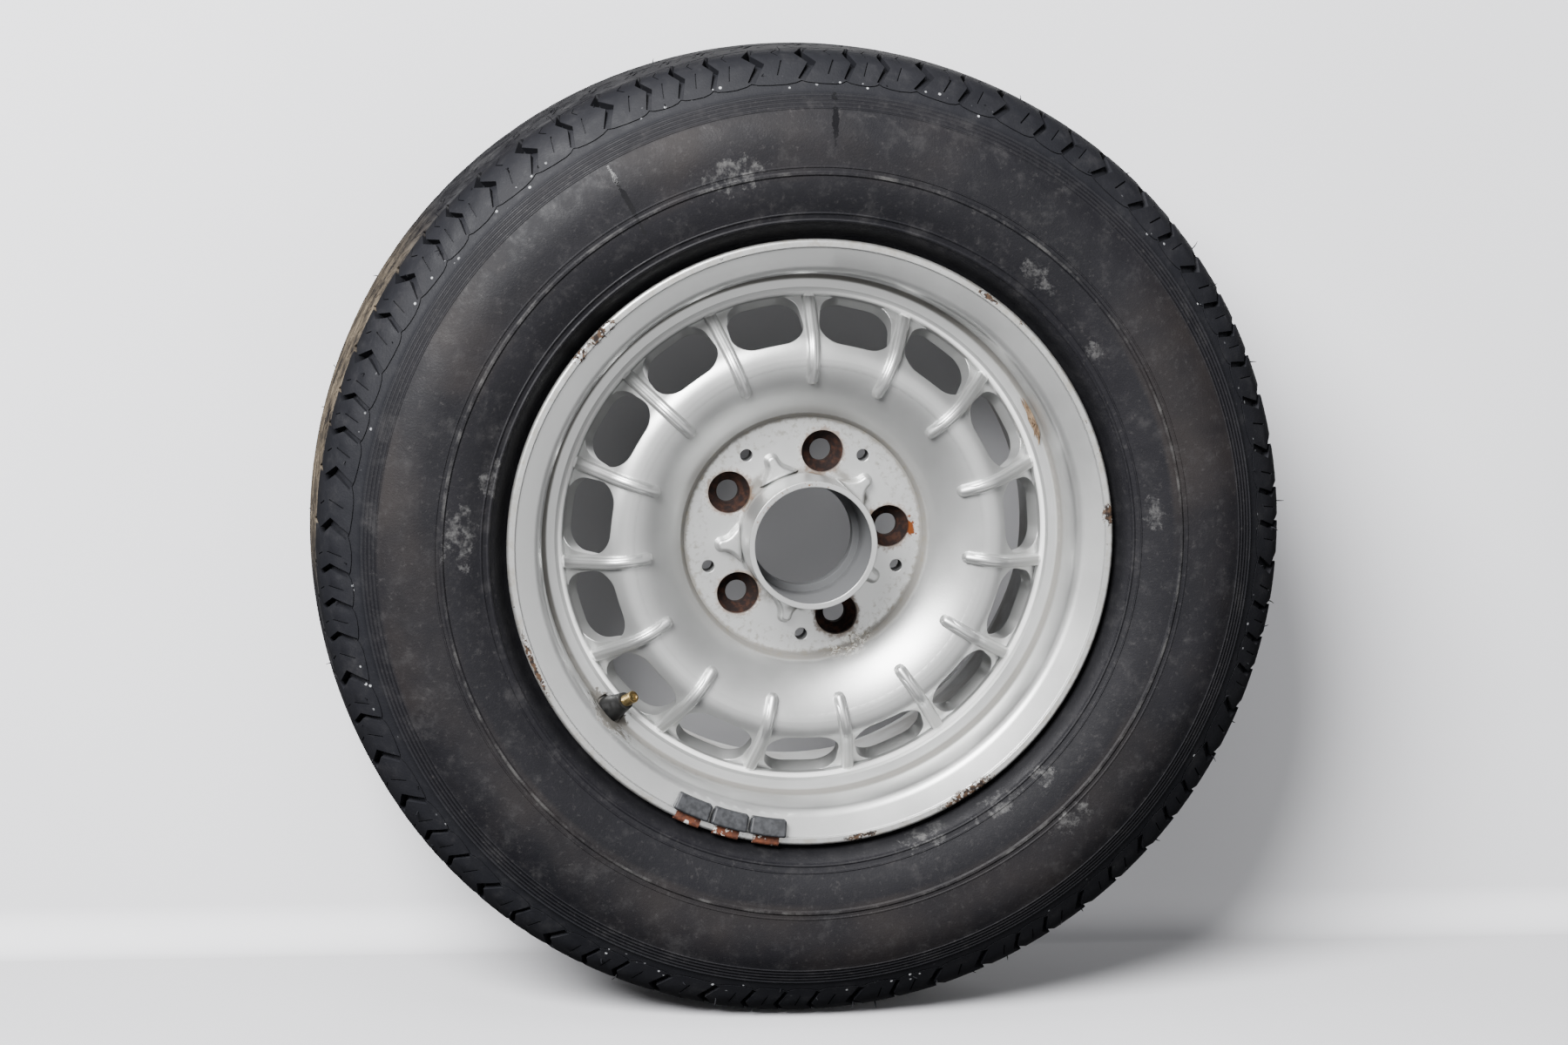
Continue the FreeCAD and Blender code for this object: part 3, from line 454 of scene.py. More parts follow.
# Painted highlight on the ledge's raised edge
EDGE_HIGHLIGHT = (0.90, 0.90, 0.89)
LIP_FILM = (0.42, 0.38, 0.30)
BARE_METAL = ((0.020, 0.015, 0.013), (0.075, 0.045, 0.028))
BRAKE_DUST = (0.20, 0.17, 0.14)
PAINT_METALLIC = 0.85
PAINT_SPECULAR = 0.2
PAINT_EDGE = 0.9


def rim_material():
    graph = Graph("silver_paint")
    radius, depth, bearing = graph.polar()
    cloud = graph.ramp(graph.noise(14.0, 6.0, 0.6), 0.3, 0.75)
    fine = graph.noise(900.0, 2.0)
    rough_noise = graph.noise(220.0, 6.0, 0.65)
    swing = graph.math("SUBTRACT", rough_noise, 0.5)
    ragged = times(graph, swing, 9.0)
    torn = times(graph, swing, 3.2)
    front = graph.ramp(depth, 36.0, 42.0)
    floor_only = graph.ramp(depth, 50.0, 55.0, 1.0, 0.0)
    on_floor = times(graph, floor_only, front)
    silver = graph.mix(cloud, *SILVER)

    # Grime round the hub floor, at the foot of the tube and by the valve, a darker band in the corner of the
    # cove, and painted shade on the foot of the bowl towards the upper left
    ring_place = graph.math("ADD", radius, times(graph, ragged, 0.5))
    ring = times(graph, graph.band(ring_place, 77.0, 80.0, 3.0), on_floor, 0.75)
    # Painted shade: the foot of the bowl is darkened, most towards the upper left
    slope = graph.band(radius, 78.0, 82.0, 6.0)
    slope = times(graph, slope, graph.near_bearing(130.0, 80, 70), front, 0.30)
    foot = graph.band(ring_place, 40.0, 47.0, 5.0)
    foot = times(graph, foot, on_floor, graph.ramp(graph.noise(45.0, 5.0), 0.42, 0.60), 0.75)
    cove = graph.band(radius, 167.5, 171.0, 2.0)
    cove = times(graph, cove, graph.ramp(depth, 50.0, 56.0, 1.0, 0.0), front, 0.75)
    caught = times(graph, graph.patch(*CAUGHT_DIRT, torn), graph.ramp(rough_noise, 0.42, 0.62), front, 0.8)
    seat = times(graph, graph.patch(*VALVE_DIRT, torn), front, 0.85)
    grime_and_shade = graph.most(ring, foot, cove, caught, slope, seat)
    silver = graph.mix(grime_and_shade, silver, GRIME_AND_SHADE)
    veil = graph.band(ring_place, 66.0, 80.0, 5.0)
    veil = times(graph, veil, floor_only, graph.ramp(rough_noise, 0.5, 0.68), 0.5)
    silver = graph.mix(veil, silver, VEIL)
    flaking = times(graph, graph.patch(*FLAKING, torn), graph.ramp(rough_noise, 0.40, 0.60))
    flake = graph.mix(graph.ramp(graph.noise(500.0, 4.0, 0.7), 0.44, 0.56), *FLAKES)
    silver = graph.mix(times(graph, flaking, 0.8), silver, flake)

    # Rusty bolt holes with their stains, painted shade in the small holes and painted shade inside the tube
    lug = graph.spot_distance(LUG_COUNT, LUG_CIRCLE, PATTERN_TURN)
    halo = graph.math("ADD", lug, times(graph, ragged, 1.5))
    halo = times(graph, graph.ramp(halo, 13.5, 17.0, 1.0, 0.0), on_floor, 0.7)
    silver = graph.mix(halo, silver, RUST_HALO)
    bleed = times(graph, graph.patch(*RUST_BLEED, times(graph, torn, 1.6)), front)
    silver = graph.mix(bleed, silver, RUST_ORANGE)
    hole = graph.ramp(lug, 13.3, 14.0, 1.0, 0.0)
    hole = times(graph, hole, graph.ramp(depth, 44.2, 45.2, 1.0, 0.0), graph.ramp(depth, 29.0, 31.0))
    rust = graph.mix(graph.ramp(rough_noise, 0.42, 0.66), *RUST_DARK)
    silver = graph.mix(hole, silver, rust)
    # Painted shade inside the small holes
    pin = graph.spot_distance(LUG_COUNT, PIN_HOLE_CIRCLE, PATTERN_TURN + PIN_HOLE_TURN)
    pin = times(graph, graph.ramp(pin, 4.1, 4.5, 1.0, 0.0), graph.ramp(depth, 44.0, 45.0, 1.0, 0.0))
    silver = graph.mix(times(graph, pin, 0.85), silver, HOLE_SHADE)
    # Painted shade: the inside of the tube is darkened
    bore_shade = graph.ramp(radius, 38.4, 39.0, 1.0, 0.0)
    bore_shade = times(graph, bore_shade, graph.ramp(depth, 86.6, 87.6, 1.0, 0.0), 0.9)
    silver = graph.mix(bore_shade, silver, BORE_SHADE)

    # A painted highlight along the ledge's raised edge, rust on the tube's edge, and a film and chips on the
    # flange
    edge_highlight = graph.band(radius, 155.9, 158.6, 0.5)
    edge_highlight = times(graph, edge_highlight, graph.ramp(depth, 46.0, 46.8), front, 0.9)
    silver = graph.mix(edge_highlight, silver, EDGE_HIGHLIGHT)
    speck = graph.ramp(graph.noise(420.0, 4.0, 0.7), 0.58, 0.64)
    tube_edge = times(graph, speck, graph.ramp(depth, 84.0, 87.0), graph.near_bearing(115.0, 30, 30),
                      graph.ramp(radius, 44.0, 46.0, 1.0, 0.0))
    silver = graph.mix(tube_edge, silver, RUST_SPECK)
    flange = graph.ramp(depth, 84.0, 86.0)
    film = graph.ramp(radius, 189.5, 191.0)
    film = times(graph, film, graph.ramp(rough_noise, 0.40, 0.70), flange, 0.55)
    silver = graph.mix(film, silver, LIP_FILM)
    chips = [graph.patch(turn, LIP_RADIUS, length, width, torn) for turn, length, width in LIP_CHIPS]
    chipped = times(graph, graph.most(*chips), graph.ramp(rough_noise, 0.40, 0.46))
    scattered = graph.ramp(graph.noise(150.0, 6.0, 0.7), 0.64, 0.67)
    scattered = times(graph, scattered, graph.ramp(radius, 189.0, 191.5))
    chip = times(graph, graph.most(chipped, scattered), flange)
    bare = graph.mix(graph.ramp(graph.noise(330.0, 3.0), 0.42, 0.6), *BARE_METAL)
    silver = graph.mix(chip, silver, bare)

    # Brake dust behind the disc
    behind = graph.ramp(depth, 20.0, 34.0, 1.0, 0.0)
    dusty = times(graph, behind, graph.ramp(graph.noise(25.0, 5.0), 0.35, 0.7), 0.6)
    silver = graph.mix(dusty, silver, BRAKE_DUST)

    graph.set("Base Color", silver)
    dull = graph.most(hole, halo, chip, grime_and_shade, pin, bleed, bore_shade, edge_highlight, times(graph, flaking, 0.7))
    graph.set("Metallic", times(graph, graph.math("SUBTRACT", 1.0, dull), PAINT_METALLIC))
    gloss = graph.math("ADD", 0.38, times(graph, cloud, 0.06))
    graph.set("Roughness", graph.ramp(dull, 0.0, 1.0, gloss, 0.85))
    graph.set("Specular IOR Level", PAINT_SPECULAR)
    height = times(graph, graph.most(hole, halo), rough_noise)
    height = graph.math("ADD", times(graph, fine, 0.2), height)
    height = graph.math("SUBTRACT", height, times(graph, flaking, 0.5))
    graph.bump(height, 0.25, 0.6, edge=PAINT_EDGE)
    return graph.material


# Radii and depths of the ledge's raised edge
LEDGE_LIP = [
    (163.0, 47.2), (161.0, 47.95), (159.4, 48.25), (158.3, 48.5), (157.5, 48.45), (156.9, 48.1),
    (156.5, 47.4), (156.0, 46.2), (155.4, 45.4), (154.9, 44.6), (155.6, 43.6), (163.0, 43.6),
]
TURN_STEPS = 360
TURNED_ANGLE = math.radians(60)
# The dome's inner side: its crest, its foot and how full it is
CREST_RADIUS = 117.5
CREST_DEPTH = 73.55
FOOT_RADIUS = 77.6
FOOT_DEPTH = 44.9
DOME_POWER = 1.5
DOME_STEPS = 40
# The cone outside the crest: radius, depth and blend at its corners
CONE_LINE = [(110.0, 73.5, 0), (125.9, 73.5, 20), (157.4, 42.0, 0)]
RIB_COUNT = 15
RIB_START = 101.6
RIB_STEP = 0.5
RIB_POINTS = 64
RIB_HALF_WIDTH = 4.25
RIB_HEIGHT = 4.6
RIB_SINK = 1.2
RIB_TIP = 3.4
RIB_BLUNT = 0.05
RIB_SIDES = 14
RIB_ANGLE = math.radians(70)


def revolve(name, line, material):
    """A face turned about the axle from a line of radii and depths."""
    verts, faces = [], []
    count = len(line)
    for k in range(TURN_STEPS):
        verts.extend(at(radius, depth, 360 * k / TURN_STEPS) for radius, depth in line)
        ahead = (k + 1) % TURN_STEPS
        for n in range(count - 1):
            faces.append((k * count + n, k * count + n + 1, ahead * count + n + 1, ahead * count + n))
    new_piece(name, verts, faces, material, slot="rim_paint", angle=TURNED_ANGLE)


def add_ledge_lip(material):
    """The thin raised edge of the ledge, outside the windows."""
    revolve("ledge_lip", LEDGE_LIP + LEDGE_LIP[:1], material)


def dome_depth(radius):
    """Depth of the dome's round inner side, from its crest to its foot on the hub floor."""
    inward = np.clip((CREST_RADIUS - radius) / (CREST_RADIUS - FOOT_RADIUS), 0, 1)
    return FOOT_DEPTH + (CREST_DEPTH - FOOT_DEPTH) * (1 - inward ** DOME_POWER) ** (1 / DOME_POWER)


def add_dome(material):
    """The round inner side of the dome, over the bowl."""
    turn = np.linspace(0, math.pi / 2, DOME_STEPS)
    radius = CREST_RADIUS - (CREST_RADIUS - FOOT_RADIUS) * np.sin(turn) ** (2 / DOME_POWER)
    depth = FOOT_DEPTH + (CREST_DEPTH - FOOT_DEPTH) * np.cos(turn) ** (2 / DOME_POWER)
    revolve("dome_face", list(zip(radius, depth)), material)


def rib_path():
    """Evenly spaced points on the face under a rib: length along, radius and depth."""
    reach, cone_radius, cone_depth = rounded_path(CONE_LINE, RIB_STEP)
    outside = cone_radius > CREST_RADIUS
    inner = np.arange(RIB_START, CREST_RADIUS, RIB_STEP)
    radius = np.r_[inner, cone_radius[outside]]
    depth = np.r_[dome_depth(inner), cone_depth[outside]]
    length = np.r_[0, np.cumsum(np.hypot(np.diff(radius), np.diff(depth)))]
    along = np.linspace(0, length[-1], RIB_POINTS)
    return along, np.interp(along, length, radius), np.interp(along, length, depth)


def add_rib_crowns(material):
    """A round crown with rounded ends on each rib."""
    along, radius, depth = rib_path()
    ahead_r = np.gradient(radius, along)
    ahead_d = np.gradient(depth, along)
    wide = RIB_SIDES + 1
    faces = []
    for k in range(RIB_POINTS - 1):
        for n in range(RIB_SIDES):
            a = k * wide + n
            faces.append((a, a + 1, a + wide + 1, a + wide))
    parts = []
    for number in range(RIB_COUNT):
        bearing = PATTERN_TURN + 360 / RIB_COUNT * (number + 0.5)
        sideways = at(1, 0, bearing + 90)
        verts = []
        for k, place in enumerate(along):
            left = min(place, along[-1] - place)
            fall = max(0.0, 1 - left / RIB_TIP)
            swell = math.sqrt(max(0.0, 1 - fall * fall))
            for n in range(wide):
                turn = math.pi * n / RIB_SIDES
                lift = (RIB_HEIGHT * swell + RIB_SINK) * math.sin(turn) - RIB_SINK
                point = at(radius[k] - lift * ahead_d[k], depth[k] + lift * ahead_r[k], bearing)
                verts.append(point + sideways * RIB_HALF_WIDTH * max(swell, RIB_BLUNT) * math.cos(turn))
        parts.append((verts, faces))
    new_piece("rib_crowns", *join(parts), material, slot="rim_paint", angle=RIB_ANGLE)


STRAND_COUNT = 26
STRAND_START = 33.0
STRAND_END = 23.0
STRAND_RADIUS = 165.3
STRAND_DEPTH = 49.2
STRAND_THICKNESS = [0.15, 0.4, 0.5, 0.55, 0.55, 0.4, 0.12]
STRAND_SIDES = 4
DIRT = ((0.12, 0.075, 0.045), (0.30, 0.21, 0.13))


def add_strand():
    """A dried wisp of dirt that lies in the corner of the cove."""
    parts = []
    last_point = len(STRAND_THICKNESS) - 1
    for k in range(STRAND_COUNT):
        first = STRAND_START - 6 * share(k, 1)
        last = STRAND_END + 5 * share(k, 2) - 2.0 * (share(k, 5) > 0.7)
        radius = STRAND_RADIUS + 3.4 * share(k, 3)
        depth = STRAND_DEPTH + 2.6 * share(k, 4)
        line = []
        for n in range(last_point + 1):
            along = n / last_point
            sway = math.sin(5 * along + 7 * share(k, 5)) * (0.4 + 0.9 * along)
            bearing = first + (last - first) * along
            line.append(at(radius + sway - 2.2 * along, depth + 0.5 * sway, bearing))
        parts.append(tube(line, STRAND_THICKNESS, STRAND_SIDES))
    new_piece("cove_dirt", *join(parts), plain_material("dried_dirt", *DIRT, 0.85))


# Tyre

PITCH_COUNT = 72
COLUMNS = 4
NOMINAL_PITCH = 27.4
SHOULDER_END = 97.0
TREAD_DEPTH = 7.0
PITCH_SIZES = {"S": 22.5, "L": 34.0}
PITCH_ORDER = "SSLLSSSLSLLSSLSL"
TYRE_OUTSIDE = [
    (314.3, 0, 0), (314.3, 20, 500), (311.0, 69, 30), (266, 100.3, 48), (226, 100.3, 58.5),
    (203.5, 92.5, 14), (194.7, 75.9, 12), (177.7, 75.9, 6.8), (176.1, 57.6, 0),
]
TYRE_INSIDE = [
    (176.1, 57.6, 0), (196, 62, 30), (226, 91.5, 22), (266, 91.5, 22), (299.3, 65.25, 25), (299.3, 0, 0),
]
# Steps between points on the outside, on the sidewall's skin and on the lining
SECTION_STEP = 0.2
SIDEWALL_STEP = 4.0
LINING_STEP = 7.0
# About how many degrees a step takes on a rounded corner, and the least number of steps there
CORNER_DEGREES = 2
CORNER_LEAST = 3
# Lines of the grooves in one block: share of the pitch, and length along the section from the tread's middle
STRAIGHT_GROOVE = [(0, 17), (1, 17)]
STRAIGHT_HALF = 3
ZIGZAG_GROOVE = [(0, 47.0), (0.42, 50.0), (0.50, 45.0), (1, 47.0)]
ZIGZAG_HALF = 1.4
SHOULDER_GROOVE = [(0.46, 47.0), (0.66, 64.0), (0.44, 74.5), (0.68, 88.0)]
SHOULDER_WIDTH = 4.2
SCALLOP = [(0, 91.4), (0.30, 91.2), (0.56, 90.2), (0.68, 88.8), (0.80, 90.4), (1, 91.4)]
SCALLOP_HALF = 0.45
SCALLOP_DEPTH = 0.9
# Thin cuts and short slots in the block: line, width and depth
CUTS = [
    ([(0.02, 52.5), (0.16, 61.0), (0.06, 67.0)], 0.7, 1.6),
    ([(0.02, 72.0), (0.14, 84.0)], 0.8, 1.4),
    ([(0.10, 24.0), (0.30, 33.0), (0.10, 42.5)], 0.8, 3.0),
    ([(0.62, 23.0), (0.80, 33.0), (0.60, 42.0)], 0.8, 3.0),
    ([(0.36, 20.0), (0.56, 31.0)], 2.2, 5.0),
    ([(0.25, 2.0), (0.45, 7.0), (0.25, 12.0)], 0.8, 3.0),
    ([(0.75, 0.0), (0.95, 6.0), (0.75, 12.0)], 0.8, 3.0),
    ([(0.55, 14.0), (0.42, 8.0)], 2.2, 5.0),
]
# Rows of points along the section, evenly spaced on the round shoulder
TREAD_ROWS = [0, 5, 10, 14, 20, 26, 33, 40, 45.6, 48.4, 54.7]
SHOULDER_START = 57.5
SHOULDER_ROWS = 15
# How deep a shoulder groove is at places along the section
GROOVE_PLACES = (0, 60, 78, 90, SHOULDER_END)
GROOVE_DEPTHS = (TREAD_DEPTH, TREAD_DEPTH, 3.4, 1.6, 1.2)
NEAR = 1e-5
TYRE_WELD = 0.01
# Radius, width and height of the rings moulded on the sidewall
SIDEWALL_RIDGES = [
    (236.5, 3.4, 0.9), (240.6, 1.4, 0.4), (276.5, 1.3, 0.5), (278.8, 1.3, 0.5), (281.1, 1.3, 0.5),
    (283.4, 1.3, 0.5), (285.7, 1.3, 0.5), (289.0, 1.8, 0.5), (207.0, 2.4, 0.9), (211.5, 1.4, 0.5),
]
# Points across a ring stand at its width divided by these, on either side of its middle
RING_PARTS = (1, 2, 5)
# The part of a ring's width that its slope takes up, and the depth beyond which the sidewall has rings
RING_SLOPE = 0.3
RING_DEPTH = 80


def rounded_path(corners, step):
    """Evenly spaced points along straight runs with rounded corners: length along, radius and depth."""
    points = [np.array(corners[0][:2], float)]
    for before, here, after in zip(corners, corners[1:], corners[2:]):
        corner = np.array(here[:2], float)
        back = np.array(before[:2]) - corner
        ahead = np.array(after[:2]) - corner
        back /= np.linalg.norm(back)
        ahead /= np.linalg.norm(ahead)
        half = math.acos(float(np.clip(back @ ahead, -1, 1))) / 2
        middle = (back + ahead) / np.linalg.norm(back + ahead)
        centre = corner + middle * here[2] / math.sin(half)
        start = corner + back * here[2] / math.tan(half) - centre
        sweep = math.pi - 2 * half
        side = math.copysign(1.0, back[1] * ahead[0] - back[0] * ahead[1])
        count = max(CORNER_LEAST, round(math.degrees(sweep) / CORNER_DEGREES))
        for k in range(count + 1):
            turn = side * sweep * k / count
            spun = (start[0] * math.cos(turn) - start[1] * math.sin(turn),
                    start[0] * math.sin(turn) + start[1] * math.cos(turn))
            points.append(centre + np.array(spun))
    points.append(np.array(corners[-1][:2], float))
    points = np.array(points)
    along = np.r_[0, np.cumsum(np.linalg.norm(np.diff(points, axis=0), axis=1))]
    places = np.arange(0, along[-1], step)
    return places, np.interp(places, along, points[:, 0]), np.interp(places, along, points[:, 1])


OUT_S, OUT_R, OUT_A = rounded_path(TYRE_OUTSIDE, SECTION_STEP)
OUT_NR = np.gradient(OUT_A, OUT_S)
OUT_NA = -np.gradient(OUT_R, OUT_S)


def on_tyre(along, lift):
    """Radius and depth of a point on the outside of the tyre, lifted square to it."""
    radius = np.interp(along, OUT_S, OUT_R) + lift * np.interp(along, OUT_S, OUT_NR)
    depth = np.interp(along, OUT_S, OUT_A) + lift * np.interp(along, OUT_S, OUT_NA)
    return radius, depth


def pitch_bearings():
    """Bearings where each block of the tread starts, and where the last one ends."""
    sizes = [PITCH_SIZES[PITCH_ORDER[k % len(PITCH_ORDER)]] for k in range(PITCH_COUNT)]
    return np.r_[0, np.cumsum(sizes)] / sum(sizes) * 360


def strip(points, width):
    """A polygon of a width round an open line, mitred at its bends."""
    points = [np.array(p, float) for p in points]
    sides = []
    for k, point in enumerate(points):
        before = points[max(k - 1, 0)]
        after = points[min(k + 1, len(points) - 1)]
        first = point - before if k else after - point
        second = after - point if k < len(points) - 1 else first
        first = first / np.linalg.norm(first)
        second = second / np.linalg.norm(second)
        lean = first + second
        lean = lean / np.linalg.norm(lean)
        normal = np.array((-lean[1], lean[0]))
        scale = 1 / max(0.5, float(lean @ first))
        sides.append((point + normal * width / 2 * scale, point - normal * width / 2 * scale))
    return [s[0] for s in sides] + [s[1] for s in reversed(sides)]


def ribbon(points, half):
    """A polygon between a line moved back and the same line moved on along the section."""
    return [(x, y - half) for x, y in points] + [(x, y + half) for x, y in reversed(points)]


def inside(point, polygon):
    """Whether a point lies in a polygon."""
    x, y = point
    found = False
    for (x0, y0), (x1, y1) in zip(polygon, polygon[1:] + polygon[:1]):
        if (y0 > y) != (y1 > y) and x < (x1 - x0) * (y - y0) / (y1 - y0) + x0:
            found = not found
    return found


def groove_depth(along):
    """How deep a shoulder groove is, running out towards the sidewall."""
    return float(np.interp(along, GROOVE_PLACES, GROOVE_DEPTHS))


def on_pitch(line):
    """A line given in shares of the pitch, in millimetres."""
    return [(part * NOMINAL_PITCH, along) for part, along in line]


def tread_grooves():
    """The grooves of one block, flat: each a polygon and its depth, with no depth where it runs out."""
    grooves = [
        (ribbon(on_pitch(STRAIGHT_GROOVE), STRAIGHT_HALF), TREAD_DEPTH),
        (ribbon(on_pitch(ZIGZAG_GROOVE), ZIGZAG_HALF), TREAD_DEPTH),
        (strip(on_pitch(SHOULDER_GROOVE), SHOULDER_WIDTH), None),
        (ribbon(on_pitch(SCALLOP), SCALLOP_HALF), SCALLOP_DEPTH),
    ]
    grooves += [(strip(on_pitch(line), width), depth) for line, width, depth in CUTS]
    return grooves


def tread_pitch(grooves):
    """One block of half the tread, flat: points, faces and the number of the groove each face lies in."""
    rows = TREAD_ROWS + list(np.linspace(SHOULDER_START, SHOULDER_END, SHOULDER_ROWS))
    points, edges = [], []

    def add_loop(loop):
        first = len(points)
        points.extend(Vector((float(x), float(y))) for x, y in loop)
        edges.extend((first + k, first + (k + 1) % len(loop)) for k in range(len(loop)))

    across = [NOMINAL_PITCH * k / COLUMNS for k in range(COLUMNS + 1)]
    loop = [(x, 0) for x in across] + [(NOMINAL_PITCH, y) for y in rows[1:]]
    loop += [(x, SHOULDER_END) for x in reversed(across[:-1])] + [(0, y) for y in reversed(rows[1:-1])]
    add_loop(loop)
    for polygon, depth in grooves:
        add_loop(polygon)
    for y in rows[1:-1]:
        for x in across[1:-1]:
            points.append(Vector((x, y)))
    result = delaunay_2d_cdt(points, edges, [], 0, NEAR)
    verts, faces = result[0], result[2]
    kinds = []
    for face in faces:
        middle = sum((verts[i] for i in face), Vector((0, 0))) / len(face)
        owners = (k for k, (polygon, depth) in enumerate(grooves) if inside(middle, polygon))
        kinds.append(next(owners, None))
    return verts, faces, kinds


def raise_pitch(verts, faces, kinds, grooves):
    """Points (x, along, lift) and faces of one block, with the floors and walls of its grooves."""
    flat = [(v.x, v.y, 0.0) for v in verts]
    lowered = {}
    floors = {}

    def floor_of(i, kind):
        depth = grooves[kind][1]
        return groove_depth(verts[i].y) if depth is None else depth

    def low(i, kind):
        value = max(floor_of(i, kind), floors.get(i, 0))
        key = (i, round(value, 4))
        if key not in lowered:
            lowered[key] = len(flat)
            flat.append((verts[i].x, verts[i].y, -value))
        return lowered[key]

    for face, kind in zip(faces, kinds):
        if kind is not None:
            for i in face:
                floors[i] = max(floors.get(i, 0), floor_of(i, kind))
    out = []
    sides = {}
    for face, kind in zip(faces, kinds):
        shown = face if kind is None else [low(i, kind) for i in face]
        out.append(tuple(shown))
        for k, i in enumerate(face):
            j = face[(k + 1) % len(face)]
            sides.setdefault(frozenset((i, j)), []).append((kind, i, j))
    for users in sides.values():
        if len(users) == 2 and (users[0][0] is None) != (users[1][0] is None):
            land, groove = sorted(users, key=lambda u: u[0] is not None)
            i, j = land[1], land[2]
            out.append((j, i, low(i, groove[0]), low(j, groove[0])))
    return flat, out


def tread_blocks(bearings):
    """Points and faces of both halves of the tread, all the way round."""
    grooves = tread_grooves()
    flat, block = raise_pitch(*tread_pitch(grooves), grooves)
    flat = np.array(flat)
    part = flat[:, 0] / NOMINAL_PITCH
    radius, depth = on_tyre(flat[:, 1], flat[:, 2])
    places, faces = [], []
    for start, end in zip(bearings, bearings[1:]):
        for side in (1, -1):
            reach = part if side > 0 else 1 - part
            turn = np.radians(start + reach * (end - start))
            first = len(places)
            places.extend(zip(radius * np.cos(turn) * MM, -side * depth * MM, radius * np.sin(turn) * MM))
            faces.extend(tuple(first + i for i in face) for face in block)
    return places, faces


def sidewall_section():
    """Radii and depths from one shoulder over the sidewall, bead and lining to the other shoulder."""
    steps = list(np.arange(SHOULDER_END, OUT_S[-1], SIDEWALL_STEP))
    for middle, width, height in SIDEWALL_RIDGES:
        centre = np.interp(-middle, -OUT_R, OUT_S)
        steps += [centre + side * width / part for part in RING_PARTS for side in (1, -1)]
    steps = np.array(sorted(s for s in steps if s >= SHOULDER_END))
    on_wall = np.interp(steps, OUT_S, OUT_A) > RING_DEPTH
    lift = np.zeros_like(steps)
    for middle, width, height in SIDEWALL_RIDGES:
        away = np.abs(np.interp(steps, OUT_S, OUT_R) - middle)
        lift += height * np.clip((width / 2 - away) / (width * RING_SLOPE), 0, 1) * on_wall
    lift[0] = 0
    along, radius, depth = rounded_path(TYRE_INSIDE, LINING_STEP)
    half = list(zip(*on_tyre(steps, lift))) + list(zip(radius, depth))
    return half + [(r, -d) for r, d in reversed(half)]


def build_tyre(material):
    """The tread, the sidewalls and the lining as one skin."""
    bearings = pitch_bearings()
    places, faces = tread_blocks(bearings)
    columns = [np.linspace(start, end, COLUMNS, endpoint=False) for start, end in zip(bearings, bearings[1:])]
    turn = np.radians(np.concatenate(columns))
    wide = len(turn)
    first = len(places)
    section = sidewall_section()
    for radius, depth in section:
        across = np.full(wide, -depth * MM)
        places.extend(zip(radius * np.cos(turn) * MM, across, radius * np.sin(turn) * MM))
    for row in range(len(section) - 1):
        a = first + row * wide
        for k in range(wide):
            n = (k + 1) % wide
            faces.append((a + k, a + n, a + wide + n, a + wide + k))
    new_piece("tyre_skin", *weld(places, faces, TYRE_WELD), material, BODY, ("tyre",), "tyre_rubber")


# Mould hairs: their places along the section, length, lean of the tip, root and thickness
HAIR_COUNT = 90
HAIR_FIRST = 54
HAIR_SPREAD = 38
HAIR_SHORTEST = 2.0
HAIR_GROWTH = 4.5
HAIR_LEAN = 0.9
HAIR_ROOT = 0.6
HAIR_FRONT_SHARE = 0.7
HAIR_THICKNESS = [0.42, 0.36, 0.3, 0.14]


def add_hairs(material):
    """Thin rubber hairs left by the mould's vents on the shoulders."""
    parts = []
    last_point = len(HAIR_THICKNESS) - 1
    for k in range(HAIR_COUNT):
        bearing = 360 * share(k)
        side = 1 if share(k, 1) < HAIR_FRONT_SHARE else -1
        along = HAIR_FIRST + HAIR_SPREAD * share(k, 2)
        length = HAIR_SHORTEST + HAIR_GROWTH * share(k, 3) ** 2
        lean = HAIR_LEAN * (share(k, 4) - 0.5)
        line = []
        for n in range(last_point + 1):
            reach = n / last_point
            radius, depth = on_tyre(along, length * reach - HAIR_ROOT)
            line.append(at(float(radius), side * float(depth), bearing + lean * reach ** 2))
        parts.append(tube(line, HAIR_THICKNESS))
    new_piece("tyre_hairs", *join(parts), material, slot="tyre_rubber")


# Chalky scuffs on the sidewall: bearing, radius, length and width
SCUFFS = [
    (292.4, 203.5, 26, 16), (306.7, 209.5, 26, 14), (316.0, 213.0, 18, 12), (5.8, 219.5, 20, 12),
    (52.0, 221.0, 22, 12), (35.4, 216.5, 12, 10), (314.0, 245.5, 30, 14), (178.0, 225.0, 36, 20),
    (168.0, 211.0, 24, 12), (104.0, 242.0, 40, 22),
]
# Dark streaks that run across the sidewall: bearing, radius, length and width
STREAKS = [(119.6, 246.0, 3.0, 44), (88.7, 269.0, 3.5, 30)]
RUBBER = ((0.006, 0.006, 0.008), (0.012, 0.0115, 0.014))
WALL_BROWN = (0.025, 0.021, 0.020)
WALL_DUST = (0.050, 0.048, 0.049)
WALL_GRAIN = (0.055, 0.052, 0.052)
# Painted sheen on the shoulder
SHOULDER_SHEEN = (0.018, 0.019, 0.023)
CHALK = (0.17, 0.168, 0.165)
CREST_CHALK = (0.11, 0.108, 0.105)
STREAK_DARK = (0.008, 0.008, 0.009)
# Painted shade by the rim
BEAD_SHADE = (0.006, 0.006, 0.007)
# Painted glints on the drops
DROP_GLINT = (0.55, 0.56, 0.58)
TREAD_GREY = (0.075, 0.075, 0.078)
TREAD_SAND = (0.24, 0.19, 0.13)
RUBBER_SPECULAR = 0.22


